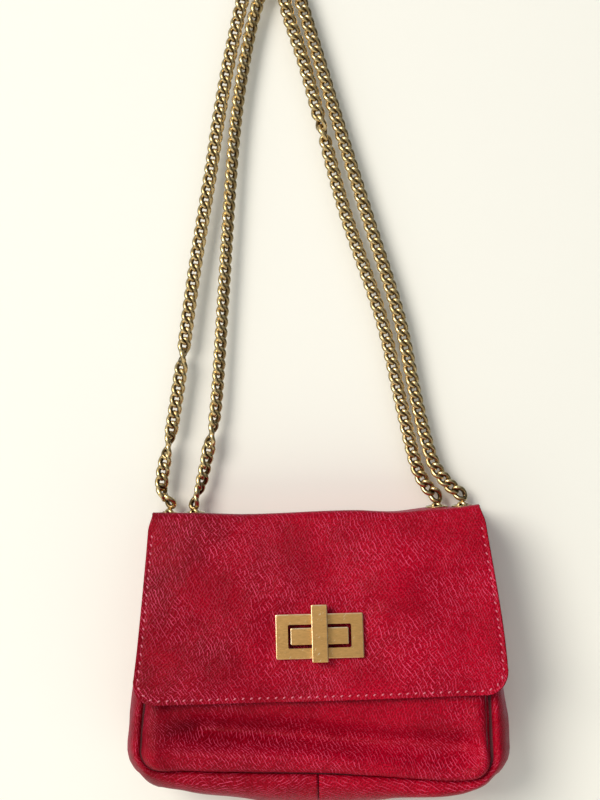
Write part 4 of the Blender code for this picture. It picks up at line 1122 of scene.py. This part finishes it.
def fixed_columns(fixed, reach):
    """Give a whole row of places with fixed ones in its middle and a rolled edge at each end."""
    steps = [reach - step for step in roll_steps()]
    last = fixed[-1]
    if steps[-1] - last < ROLL_ROOM:
        squeeze = (reach - SEAM_ROLL - ROLL_ROOM) / last
        fixed = [place * squeeze for place in fixed]
    return mirrored(fixed + steps[::-1])


def make_back_and_top():
    """Make the one sheet of leather that runs up the back, over the top and into the flap."""
    fixed = hole_columns()
    grid = []
    for depth, down in back_profile():
        on_back = ease(TOP_EDGE_ROUND, BACK_ROLL_START, down)
        top_reach = YOKE_HALF_WIDTH if depth > -YOKE_FRONT else FLAP_TOP_HALF_WIDTH
        reach = mix(top_reach, half_width(down), ease(0, BACK_ROLL_START, down))
        row = []
        for x in fixed_columns(fixed, reach):
            y = depth
            if down > TOP_EDGE_ROUND:
                y -= min(seam_roll(edge_distance(x, down)), SEAM_ROLL) * on_back
                y -= BACK_DIP * (1 / 2 + waves(x, down, *BACK_DIP_WAVES)) * on_back
            row.append(Vector((x, y, -down)))
        grid.append(row)
    sheet("back_and_top_leather", ("back_panel", "yoke", "flap_spine"), "pebbled_leather", grid, LEATHER,
          BACK_OUTWARD, hole=eyelet_holes(grid, HOLE_LOWEST), bend=YOKE_BEND)


def corner_bulge(share):
    """Give the gusset's swell a share of the way round the corner, where the leather is tightest."""
    if share < 1 / 2:
        return mix(SIDE_BULGE, CORNER_BULGE, 2 * share)
    return mix(CORNER_BULGE, BASE_END_BULGE, 2 * share - 1)


def outline_stations(top, inset, seam, step):
    """Follow one side of the panels' outline from the top to the seam under the bag.

    Each station is a point, the way out from it, how far the gusset swells there, and how far along
    the side it is, from 0 at the top to 1 at the corner and 2 at the seam.
    """
    stations = []
    for down in spaced(top, CORNER_TOP, step):
        bulge = mix(SIDE_TOP_BULGE, SIDE_BULGE, math.sin(down / CORNER_TOP * math.pi / 2))
        stations.append((half_width(down, inset), down, 1, 0, bulge, down / CORNER_TOP))
    corner_x = BODY_BOTTOM_HALF_WIDTH - PANEL_CORNER
    radius = PANEL_CORNER - inset
    for share in spaced(0, 1, step / (PANEL_CORNER + CORNER_BULGE))[1:]:
        angle = share * math.pi / 2
        out_x = math.cos(angle)
        out_down = math.sin(angle)
        place = (corner_x + radius * out_x, CORNER_TOP + radius * out_down)
        stations.append((*place, out_x, out_down, corner_bulge(share), 1 + share / 2))
    for x in spaced(corner_x, seam, step)[1:]:
        travel = 2 - (x - seam) / (corner_x - seam) / 2
        rest = clamp((x - BASE_FLAT_HALF_LENGTH) / (corner_x - BASE_FLAT_HALF_LENGTH))
        bulge = mix(BASE_BULGE, BASE_END_BULGE, rest * rest)
        stations.append((x, PANEL_HEIGHT - inset, 0, 1, bulge, travel))
    return stations


def gusset_detail(swell, side, travel, depth_share, bulge_share):
    """Add the outer leather's own swell, folds and ridge over the seam under the bag."""
    if side > 0:
        low_side = ease(*RIGHT_SWELL_START_SHARES, travel) * (1 - ease(*RIGHT_SWELL_END_SHARES, travel))
        swell += RIGHT_SWELL * low_side * bulge_share
    stretch, depth_stretch = GUSSET_FOLD_STRETCH_SHARES
    folds = waves(travel * stretch * side, depth_share * depth_stretch, GUSSET_FOLD,
                  GUSSET_FOLD_SIZE_SHARE, GUSSET_FOLD_SEED + side)
    swell += folds * ease(*GUSSET_FOLD_START_SHARES, travel) * bulge_share
    return swell + SEAM_RIDGE * hump(travel, 2, SEAM_RIDGE_SHARE) * bulge_share


def gusset_grid(side, inset, seam, step, detail):
    """Give rows of points across the gusset's outer face on one side of the bag."""
    curve = smooth_curve([Vector(pair) for pair in GUSSET_SWELL_SHARES], SWELL_SAMPLES)
    back = BACK_INNER - inset
    grid = []
    for x, down, out_x, out_down, bulge, travel in outline_stations(BELOW_EYELETS, inset, seam, step):
        low = ease(*LOW_SIDE, down)
        seam_depth = mix(FRONT_INNER, DEEP_SEAM, low) + inset
        front = -(FRONT_DEPTH + down * FRONT_SLOPE) + seam_depth * LEAN_STRETCH
        crease = SIDE_CREASE * (1 - ease(*SIDE_CREASE_END_SHARES, travel))
        row = []
        for depth_share, bulge_share in curve:
            swell = bulge * bulge_share
            swell -= crease * hump(depth_share, SIDE_CREASE_PLACE_SHARE, SIDE_CREASE_WIDTH_SHARE)
            if detail:
                swell = gusset_detail(swell, side, travel, depth_share, bulge_share)
            forward = FORWARD_ROLL * ease(*FORWARD_SHARES, depth_share) * low
            forward *= math.sin(math.pi * clamp(bulge_share) ** FORWARD_POWER)
            y = mix(back, front, depth_share) - forward
            row.append(Vector((side * (x + swell * out_x), y, -(down + swell * out_down))))
        grid.append(row)
    return grid


def make_gussets():
    """Make the two halves of the gusset, which meet at a seam under the bag."""
    for name, side in (("left", -1), ("right", 1)):
        grid = gusset_grid(side, 0, GAP / 2 + side * SEAM_SHIFT, GRID_STEP, True)
        sheet("gusset_leather_" + name, ("gusset_" + name,), "pebbled_leather", grid, LEATHER, (side, 0, 0))


# Linings and what lies inside

def loose(x, down, cloth_waves):
    """Give how far a lining hangs off what it covers."""
    return LOOSE * (1 + waves(x, down, *cloth_waves))


def inner_front_point(x, down, inset):
    """Give a place on a sheet behind the front panel."""
    depth = FRONT_DEPTH + down * FRONT_SLOPE + puff(x, down) - (FRONT_INNER + inset) * LEAN_STRETCH
    return Vector((x, -depth, -down))


def facing_point(x, down):
    """Give a place on the facing."""
    return inner_front_point(x, down, loose(x, down, FACING_LOOSE_WAVES))


def front_lining_point(x, down):
    """Give a place on the front lining, which the trough pushes in."""
    trough = max(0, -front_swell(x, down) + puff(x, down)) * LEAN_STRETCH
    return inner_front_point(x, down, loose(x, down, FRONT_LOOSE_WAVES) + trough)


def back_lining_point(x, down):
    """Give a place on the back lining."""
    return Vector((x, BACK_INNER - (BACK_LOOSE + loose(x, down, BACK_LOOSE_WAVES)), -down))


def panel_grid(levels, point):
    """Give rows of points across the inside of a panel."""
    grid = []
    for down in levels:
        reach = half_width(down, PANEL_LINING_INSET)
        grid.append([point(reach * (2 * share - 1), down) for share in shares(LINING_COLUMNS)])
    return grid


def lining_levels(top):
    """Give rows of a panel's lining, close together at the round corners."""
    radius = PANEL_CORNER - PANEL_LINING_INSET
    corner = [CORNER_TOP + radius * sine for cosine, sine in quarter_turn(LINING_CORNER_STEPS)]
    return spaced(top, CORNER_TOP, COARSE_STEP) + corner


def make_linings():
    """Make the linings and the facing inside the mouth."""
    levels = spaced(FRONT_TOP, FACING_BOTTOM, COARSE_STEP)
    sheet("facing_leather", ("front_facing",), "smooth_leather", panel_grid(levels, facing_point),
          FACING_LEATHER, (0, -1, 0), move=None)
    grid = panel_grid(lining_levels(FACING_BOTTOM + GAP), front_lining_point)
    sheet("lining_cloth_front", ("lining_front",), "lining_cloth", grid, LINING, (0, -1, 0))
    grid = panel_grid(lining_levels(BELOW_EYELETS), back_lining_point)
    sheet("lining_cloth_back", ("lining_back",), "lining_cloth", grid, LINING, (0, 1, 0))
    left, right = [gusset_grid(side, LINING_INSET, 0, COARSE_STEP, False) for side in (-1, 1)]
    sheet("lining_cloth_gusset", ("lining_gusset",), "lining_cloth", left + right[-2::-1], LINING, (0, 0, -1))


def make_pocket():
    """Make the slip pocket, with a folded hem along its gaping top."""
    pocket_depth = BACK_INNER - LINING - GAP - POCKET_ROOM
    grid = []
    for down in spaced(POCKET_TOP, POCKET_TOP + POCKET_HEIGHT, WIDE_STEP):
        fall = down - POCKET_TOP
        hem = POCKET_HEM * (1 - ease(*POCKET_HEM_DOWN, fall))
        row = []
        for x in spaced(-POCKET_WIDTH / 2, POCKET_WIDTH / 2, WIDE_STEP):
            across = 1 - (2 * x / POCKET_WIDTH) ** POCKET_GAPE_POWER
            gape = POCKET_GAPE * across * (1 - ease(*POCKET_GAPE_DOWN, fall))
            row.append(Vector((x, pocket_depth - gape - hem, -down)))
        grid.append(row)
    sheet("pocket_cloth", ("inner_pocket",), "lining_cloth", grid, LINING, (0, -1, 0))


def make_board():
    """Make the stiffener at the bottom of the bag, bent a little by the weight on it."""
    low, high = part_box("base_board")
    low -= BAG_ORIGIN
    high -= BAG_ORIGIN
    columns = spaced(low.x + BOARD_ROUND, high.x - BOARD_ROUND, WIDE_STEP)
    rows = spaced(low.y + BOARD_ROUND, high.y - BOARD_ROUND, WIDE_STEP)
    grid = [[Vector((x, y, high.z)) for x in columns] for y in rows]
    sheet("base_board_sheet", ("base_board",), "board", grid, high.z - low.z, (0, 0, 1))


def make_yoke_lining():
    """Make the cloth under the yoke, with holes round the eyelets."""
    row_step, column_step = YOKE_LINING_STEPS
    rows = spaced(BACK_INNER, HOLE_REACH, row_step)[:-1] + spaced(HOLE_REACH, -HOLE_REACH, HOLE_STEP)
    rows += spaced(-HOLE_REACH, -YOKE_FRONT, row_step)[1:]
    columns = spaced(-BODY_TOP_HALF_WIDTH, BODY_TOP_HALF_WIDTH, column_step)
    grid = [[Vector((x, depth, -LEATHER - GAP)) for x in columns] for depth in rows]
    sheet("yoke_lining_cloth", ("yoke_lining",), "lining_cloth", grid, LINING, (0, 0, 1),
          hole=eyelet_holes(grid, -PANEL_LINING_INSET))


# Flap

def flap_half_width(down, margin=0):
    """Give the flap's half-width at a distance below the yoke's top."""
    side = mix(FLAP_TOP_HALF_WIDTH, FLAP_BOTTOM_HALF_WIDTH, down / FLAP_DROP) - margin
    fall = down - FLAP_CORNER_TOP
    return side if fall <= 0 else round_end(side, FLAP_CORNER - margin, fall)


def flap_edge_distance(x, down):
    """Give how far inside the flap's outline a place lies."""
    corner_x = FLAP_BOTTOM_HALF_WIDTH - FLAP_CORNER
    if abs(x) > corner_x and down > FLAP_CORNER_TOP:
        return FLAP_CORNER - math.hypot(abs(x) - corner_x, down - FLAP_CORNER_TOP)
    side = mix(FLAP_TOP_HALF_WIDTH, FLAP_BOTTOM_HALF_WIDTH, down / FLAP_DROP)
    return min(side - abs(x), FLAP_DROP - down)


def flap_swell(x, down):
    """Give how far the flap's leather stands out of its plane, which the lock's plate keeps flat."""
    clear = max(ease(PLATE_WIDTH / 2, PLATE_WIDTH / 2 + BESIDE_PLATE, abs(x)),
                ease(PLATE_HEIGHT / 2, PLATE_HEIGHT / 2 + BELOW_PLATE, abs(down - LOCK_DROP)))
    across_share = x / FLAP_BOTTOM_HALF_WIDTH
    pillow = PILLOW * (1 - across_share * across_share) * math.sin(math.pi * clamp(down / FLAP_DROP))
    lumps = sum(waves(x, down, *lump) for lump in FLAP_LUMPS)
    dent = sum(depth * hump(x, centre, width) * hump(down, middle, height)
               for depth, centre, width, middle, height in FLAP_DENTS)
    lift = LEFT_LIFT * ease(*LEFT_LIFT_SHARES, -across_share) * ease(*LEFT_LIFT_DOWN, down)
    groove = -STITCH_GROOVE * hump(flap_edge_distance(x, down), STITCH_MARGIN, STITCH_GROOVE_WIDTH)
    groove *= ease(*STITCH_GROOVE_DOWN, down)
    return (pillow + lumps + dent + lift) * clear * ease(*SWELL_DOWN, down) + groove


def flap_profile():
    """Give the flap's outer profile from the middle of its level part down to its lower edge."""
    profile = [(depth, -spine_rise(depth)) for depth in spaced(SPINE_SPLIT, FOLD_CENTRE_DEPTH, FINE_STEP)]
    bend_end = math.pi / 2 - FRONT_LEAN
    for share in shares(FOLD_STEPS)[1:]:
        angle = share * bend_end
        depth = FOLD_CENTRE_DEPTH + FLAP_BEND * math.sin(angle)
        profile.append((depth, FOLD_CENTRE_DOWN - FLAP_BEND * math.cos(angle)))
    slot_top = LOCK_DOWN - HALF_SLOT_DOWN
    slot_bottom = LOCK_DOWN + HALF_SLOT_DOWN
    levels = spaced(profile[-1][1], slot_top, GRID_STEP)[1:] + spaced(slot_top, slot_bottom, GRID_STEP)[1:]
    levels += spaced(slot_bottom, FLAP_DROP - FINE_BAND, GRID_STEP)[1:]
    levels += spaced(FLAP_DROP - FINE_BAND, FLAP_DROP, FINE_STEP)[1:]
    return profile + [(FLAP_PLANE_DEPTH + down * FRONT_SLOPE, down) for down in levels]


def flap_normal(depth, down):
    """Give the way out of the flap at a place of its profile, as depth and rise."""
    if depth <= FOLD_CENTRE_DEPTH:
        return (0, 1)
    if down < FOLD_CENTRE_DOWN - FLAP_BEND * math.sin(FRONT_LEAN):
        out = (depth - FOLD_CENTRE_DEPTH, FOLD_CENTRE_DOWN - down)
        length = math.hypot(*out)
        return (out[0] / length, out[1] / length)
    return (math.cos(FRONT_LEAN), math.sin(FRONT_LEAN))


def flap_settled(point):
    """Give where a point of the flap has sunk and spread to."""
    down = -point.z
    depth = -point.y
    beside = abs(point.x)
    flare = -table_value(LEFT_FLARE, down) if point.x < 0 else table_value(RIGHT_FLARE, down)
    near_top = 1 - ease(0, TOP_SAG_DEPTH + FLAP_BEND, down)
    near_fold = ease(SPINE_SPLIT, FOLD_SAG_START, depth) * near_top
    sag = table_value(FOLD_SAG, point.x) * near_fold + table_value(TOP_SAG, point.x) * near_top
    tuck = FOLD_TUCK * ease(*TUCK_ACROSS, beside) * ease(*TUCK_FORWARD, depth)
    tuck *= 1 - ease(*TUCK_DOWN, down + FOLD_RISE)
    inward = -1 if point.x > 0 else 1
    belly = FLAP_BELLY * (1 - ease(*BELLY_ACROSS, beside)) * ease(*BELLY_DOWN, down)
    tilt = FLAP_TILT * point.x / FLAP_BOTTOM_HALF_WIDTH * ease(*TILT_DOWN, down)
    across = flare * ease(*FLARE_ACROSS, beside) + inward * tuck
    return point + Vector((across, 0, tilt - sag - belly))


def flap_point(x, depth, down, inset=0):
    """Give a place on the flap's leather, or on a sheet behind it."""
    out_depth, rise = flap_normal(depth, down)
    out = flap_swell(x, down) - inset
    return Vector((x, -(depth + out * out_depth), -down + out * rise))


def flap_columns(reach, window):
    """Give the places across a row of the flap, with the lock's window among them."""
    steps = [reach - step for step in spaced(0, FINE_BAND, FINE_STEP)]
    count = round((FLAP_BOTTOM_HALF_WIDTH - FINE_BAND - window) / GRID_STEP)
    between = [mix(window, steps[-1], share) for share in shares(count)[1:-1]]
    return mirrored(spaced(0, window, GRID_STEP) + between + steps[::-1])


def flap_sheet(name, nodes, slot, thickness, window, window_half_height, margin=0, inset=0):
    """Make a sheet of the flap, with a window for the lock, that bends over the fold."""
    grid = []
    for depth, down in flap_profile():
        if margin and down > FLAP_DROP - margin:
            continue
        columns = flap_columns(flap_half_width(down, margin), window)
        grid.append([flap_point(x, depth, down, inset) for x in columns])

    def hole(row_index, index):
        """Say whether a patch lies in the window."""
        middle = (grid[row_index][index] + grid[row_index + 1][index + 1]) / 2
        low = LOCK_DOWN - window_half_height
        high = LOCK_DOWN + window_half_height
        return abs(middle.x) < window and low < -middle.z < high

    sheet(name, nodes, slot, grid, thickness, FLAP_OUTWARD, flap_settled, hole, FRONT_BEND)


def make_flap():
    """Make the flap's leather and its lining, from the middle of the level part down."""
    flap_sheet("flap_leather", ("flap_front",), "pebbled_leather", LEATHER, SLOT_WIDTH / 2, SLOT_HEIGHT / 2)
    flap_sheet("flap_lining_leather", ("flap_front_lining",), "smooth_leather", LINING, PLATE_WIDTH / 2 + GAP,
               PLATE_HEIGHT / 2 + GAP, FLAP_LINING_MARGIN, LEATHER + GAP / 2)


def make_spine_lining():
    """Make the lining under the level part of the flap, up to the yoke."""
    levels = spaced(SPINE_BACK, BLEND_END, BLEND_STEP) + spaced(BLEND_END, SPINE_SPLIT, MEDIUM_STEP)[1:]
    reach = FLAP_TOP_HALF_WIDTH - FLAP_LINING_MARGIN
    columns = spaced(-reach, reach, GRID_STEP)
    grid = [[Vector((x, -depth, spine_rise(depth) - LEATHER - GAP / 2)) for x in columns] for depth in levels]
    sheet("spine_lining_leather", ("flap_spine_lining",), "smooth_leather", grid, LINING, (0, 0, 1),
          flap_settled, bend=YOKE_BEND)


def stitch_path():
    """Give the line of stitching inside the flap's edges, as places across and down the flap."""
    radius = FLAP_CORNER - STITCH_MARGIN
    corner_x = flap_half_width(FLAP_CORNER_TOP, STITCH_MARGIN) - radius
    half_path = [Vector((flap_half_width(down, STITCH_MARGIN), down))
                 for down in spaced(FLAP_BEND + STITCH_BELOW_FOLD, FLAP_CORNER_TOP, WIDE_STEP)]
    half_path += [Vector((corner_x + radius * cosine, FLAP_CORNER_TOP + radius * sine))
                  for cosine, sine in quarter_turn(CORNER_STEPS)]
    return [Vector((-place.x, place.y)) for place in half_path] + half_path[::-1]


def make_flap_stitches():
    """Make the pale stitches that show along the flap's sides and lower edge."""
    path = stitch_path()
    length = path_length(path)
    count = round(length / STITCH_PITCH)
    distances = [length * (index + 1 / 2) / count for index in range(count)]
    places = []
    for place, direction in along_path(path, distances):
        depth = FLAP_PLANE_DEPTH + place.y * FRONT_SLOPE
        centre = flap_settled(flap_point(place.x, depth, place.y, STITCH_SINK))
        out_depth, rise = flap_normal(depth, place.y)
        normal = Vector((0, -out_depth, rise))
        along = Vector((direction.x, -direction.y * FRONT_SLOPE, -direction.y)).normalized()
        across = normal.cross(along)
        along = (along * math.cos(STITCH_TILT) + across * math.sin(STITCH_TILT)).normalized()
        places.append((centre, along, normal))
    blend(stitches("flap_stitches", places, thread()), *FRONT_BEND)


# Chain

def strand(eyelet_x, turn_side, turn_radius, turn_start, route_shares):
    """Give the points of one strand, from its pivot over the eyelet to the turn at the top."""
    foot = Vector((eyelet_x, 0, PIVOT_HEIGHT))
    reach = Vector((turn_side * math.cos(turn_start), 0, math.sin(turn_start)))
    head = HANG_CENTRE + reach * turn_radius
    points = [Vector((mix(foot.x, head.x, across_share), 0, mix(foot.z, head.z, rise_share)))
              for rise_share, across_share in route_shares]
    return smooth_curve([foot] + points + [head], CURVE_SAMPLES)


def turn_at_top(radius, start):
    """Give the points of the turn at the top, from left to right, without its two ends."""
    angles = [mix(math.pi - start, start, share) for share in shares(TURN_STEPS)[1:-1]]
    return [HANG_CENTRE + radius * Vector((math.cos(angle), 0, math.sin(angle))) for angle in angles]


def chain_links(name, nodes, body, path, left_twists=(), right_twists=()):
    """Make a run of curb links along a path that lies in the plane of the strap."""
    length = path_length(path)
    count = int(length / LINK_PITCH)
    start = (length - (count - 1) * LINK_PITCH) / 2
    distances = [start + LINK_PITCH * index for index in range(count)]
    verts = []
    faces = []
    uvs = []
    through = Vector((0, 1, 0))
    for (centre, along), distance in zip(along_path(path, distances), distances):
        roll = 0
        for height, width, amount in left_twists if distance < length / 2 else right_twists:
            roll += amount * ease(height - width, height + width, centre.z)
        across = along.cross(through).normalized()
        add_link(verts, faces, uvs, centre, along, across, through, roll)
    piece = finish_mesh(name, verts, faces, uvs, surfaces["antique_gold"])
    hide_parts(*nodes)
    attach(piece, body)


def add_link(verts, faces, uvs, centre, along, across, through, roll):
    """Add one twisted oval link of round wire."""
    first = len(verts)
    line = []
    for step in range(LINK_STEPS):
        turn = 2 * math.pi * step / LINK_STEPS
        lean = LINK_TURN * math.cos(turn) + roll
        side = across * math.cos(lean) + through * math.sin(lean)
        line.append(along * LINK_HALF_LENGTH * math.cos(turn) + side * LINK_HALF_WIDTH * math.sin(turn))
    for step, place in enumerate(line):
        tangent = (line[(step + 1) % LINK_STEPS] - line[step - 1]).normalized()
        outward = (place - tangent * place.dot(tangent)).normalized()
        over = tangent.cross(outward)
        ring = first + step * LINK_SIDES
        next_ring = first + (step + 1) % LINK_STEPS * LINK_SIDES
        for side in range(LINK_SIDES):
            angle = 2 * math.pi * side / LINK_SIDES
            offset = outward * math.cos(angle) + over * math.sin(angle)
            verts.append(centre + place + offset * LINK_WIRE)
            uvs.append((step / LINK_STEPS, 1 / 2 - math.cos(angle) / 2))
            after = (side + 1) % LINK_SIDES
            faces.append([ring + side, next_ring + side, next_ring + after, ring + after])


def make_chains():
    """Make the links of the two doubled runs and of the two loops under the yoke."""
    runs = (
        ("outer", OUTER_EYELET_X, OUTER_TURN_RADIUS, OUTER_TURN_START,
         LEFT_OUTER_SHARES, RIGHT_OUTER_SHARES, LEFT_OUTER_TWISTS, RIGHT_OUTER_TWISTS),
        ("inner", INNER_EYELET_X, INNER_TURN_RADIUS, INNER_TURN_START,
         LEFT_INNER_SHARES, RIGHT_INNER_SHARES, LEFT_INNER_TWISTS, RIGHT_INNER_TWISTS))
    for name, eyelet_x, radius, start, left_shares, right_shares, left_twists, right_twists in runs:
        left = strand(-eyelet_x, -1, radius, start, left_shares)
        right = strand(eyelet_x, 1, radius, start, right_shares)
        path = left + turn_at_top(radius, start) + right[::-1]
        chain_links("chain_links_" + name, ("chain_" + name,), "strap", path, left_twists, right_twists)
    radius = (OUTER_EYELET_X - INNER_EYELET_X) / 2
    centre_x = (OUTER_EYELET_X + INNER_EYELET_X) / 2
    bend_height = -EYELET_BOTTOM - INSIDE_LOOP_DROP
    for name, side in (("inside_left", -1), ("inside_right", 1)):
        path = [Vector((side * OUTER_EYELET_X, 0, EYELET_TOP))]
        for share in shares(TURN_STEPS):
            angle = -share * math.pi
            x = centre_x + radius * math.cos(angle)
            path.append(Vector((side * x, 0, bend_height + radius * math.sin(angle))))
        path.append(Vector((side * INNER_EYELET_X, 0, EYELET_TOP)))
        chain_links("chain_links_" + name, ("chain_" + name,), "bag", path)


# Solids that keep their shape

def dress_solids():
    """Give the metal pieces, whose solids are right, their materials."""
    old_gold = antique_gold("Object")
    plain_steel = steel()
    materials = {name: brushed_gold(name) for name in ("lock_plate", "lock_base", "lock_toggle")}
    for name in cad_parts:
        if name.startswith("eyelet_washer") or "screw" in name:
            materials[name] = plain_steel
        elif name.startswith("eyelet_"):
            materials[name] = old_gold
    for name in ("lock_backing_plate", "lock_inner_plate", "lock_spindle", "lock_clip"):
        materials[name] = plain_steel
    for name, material in materials.items():
        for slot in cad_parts[name].material_slots:
            slot.material = material


# Surroundings

def pale_surface(name, shades):
    """Give a pale matt surface that shows only from its front.

    One that doesn't shade shows only to the camera, and keeps no light away from the bag.
    """
    nodes = surface(name)
    unseen = nodes.add("NewGeometry", "Backfacing")
    if not shades:
        seen = nodes.add("LightPath", "Is Camera Ray")
        unseen = nodes.math("MAXIMUM", nodes.math("SUBTRACT", 1, seen), unseen)
    shader = nodes.tree.nodes["Principled BSDF"].outputs["BSDF"]
    clear = nodes.add("BsdfTransparent", "BSDF")
    choice = nodes.add("MixShader", "Shader", (("Fac", unseen), (1, shader), (2, clear)))
    nodes.feed(nodes.tree.nodes["Material Output"].inputs["Surface"], choice)
    return nodes.finish(CREAM, CREAM_ROUGHNESS, None, MATT)


def stage_square(name, corners, shades):
    """Make a pale square of the surroundings."""
    mesh = bpy.data.meshes.new(name)
    mesh.from_pydata(corners, [], [tuple(range(len(corners)))])
    mesh.materials.append(pale_surface(name + "_surface", shades))
    piece = bpy.data.objects.new(name, mesh)
    bpy.context.collection.objects.link(piece)


def make_wall():
    """Make the pale wall behind the bag."""
    x, z = WALL_CENTRE
    half = WALL_SIZE / 2
    stage_square("wall", [(x + side * half, WALL_DEPTH, z + rise * half) for side, rise in SQUARE], False)


def make_floor():
    """Make the plain pale floor, well below the bag."""
    half = FLOOR_SIZE / 2
    stage_square("floor", [(side * half, rise * half, FLOOR_HEIGHT) for side, rise in SQUARE], True)


def make_key():
    """Light the bag from a large soft lamp in front, at the upper left."""
    lamp = bpy.data.lights.new("key", "AREA")
    lamp.shape = "DISK"
    lamp.size = KEY_SIZE
    lamp.energy = KEY_POWER
    lamp.color = KEY_COLOUR
    key = bpy.data.objects.new("key", lamp)
    key.location = KEY_PLACE
    key.rotation_euler = (Vector(KEY_AIM) - Vector(KEY_PLACE)).to_track_quat("-Z", "Y").to_euler()
    bpy.context.collection.objects.link(key)


def make_sky():
    """Light the bag softly from everywhere, more from the upper left and from behind."""
    world = bpy.data.worlds.new("room")
    bpy.context.scene.world = world
    nodes = Nodes(world)
    way = nodes.add("TexCoord", "Generated")
    towards = nodes.vectors("DOT_PRODUCT", way, 1, Vector(SKY_WAY).normalized())
    behind = nodes.add("MapRange", "Result", (("Value", nodes.axis(way, "Y")), ("To Max", BACK_SKY)))
    light = nodes.math("ADD", nodes.span(towards, *SKY_RAMP), behind)
    seen = nodes.add("LightPath", "Is Camera Ray")
    inputs = ((0, seen), (MIX_FIRST_NUMBER, light), (MIX_SECOND_NUMBER, 1))
    strength = nodes.add("Mix", 0, inputs, data_type="FLOAT")
    background = nodes.tree.nodes["Background"]
    nodes.feed(background.inputs["Strength"], strength)
    nodes.feed(background.inputs["Color"], SKY_COLOUR)


def make_camera():
    """Place the camera as the photograph's was."""
    data = bpy.data.cameras.new("camera")
    data.sensor_width = CAMERA_SENSOR
    data.lens = CAMERA_LENS
    camera = bpy.data.objects.new("camera", data)
    camera.location = CAMERA_PLACE
    camera.rotation_mode = "QUATERNION"
    level = Vector((0, 1, 0)).to_track_quat("-Z", "Z")
    camera.rotation_quaternion = level @ Quaternion(Vector((0, 0, 1)), CAMERA_ROLL)
    bpy.context.collection.objects.link(camera)
    bpy.context.scene.camera = camera


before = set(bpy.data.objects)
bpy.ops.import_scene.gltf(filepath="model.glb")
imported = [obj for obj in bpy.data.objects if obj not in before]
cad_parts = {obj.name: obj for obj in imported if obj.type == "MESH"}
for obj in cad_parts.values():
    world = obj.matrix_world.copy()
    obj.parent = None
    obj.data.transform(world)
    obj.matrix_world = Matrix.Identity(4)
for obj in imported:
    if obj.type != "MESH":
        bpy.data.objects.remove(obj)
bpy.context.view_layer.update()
bpy.context.scene.view_settings.view_transform = "Standard"
make_camera()
make_wall()
make_floor()
make_key()
make_sky()
surfaces = {"pebbled_leather": pebbled_leather(), "smooth_leather": smooth_leather(),
            "lining_cloth": lining_cloth(), "board": board(), "antique_gold": antique_gold()}
make_front_panel()
make_back_and_top()
make_gussets()
make_linings()
make_pocket()
make_board()
make_yoke_lining()
make_flap()
make_spine_lining()
make_flap_stitches()
make_chains()
dress_solids()
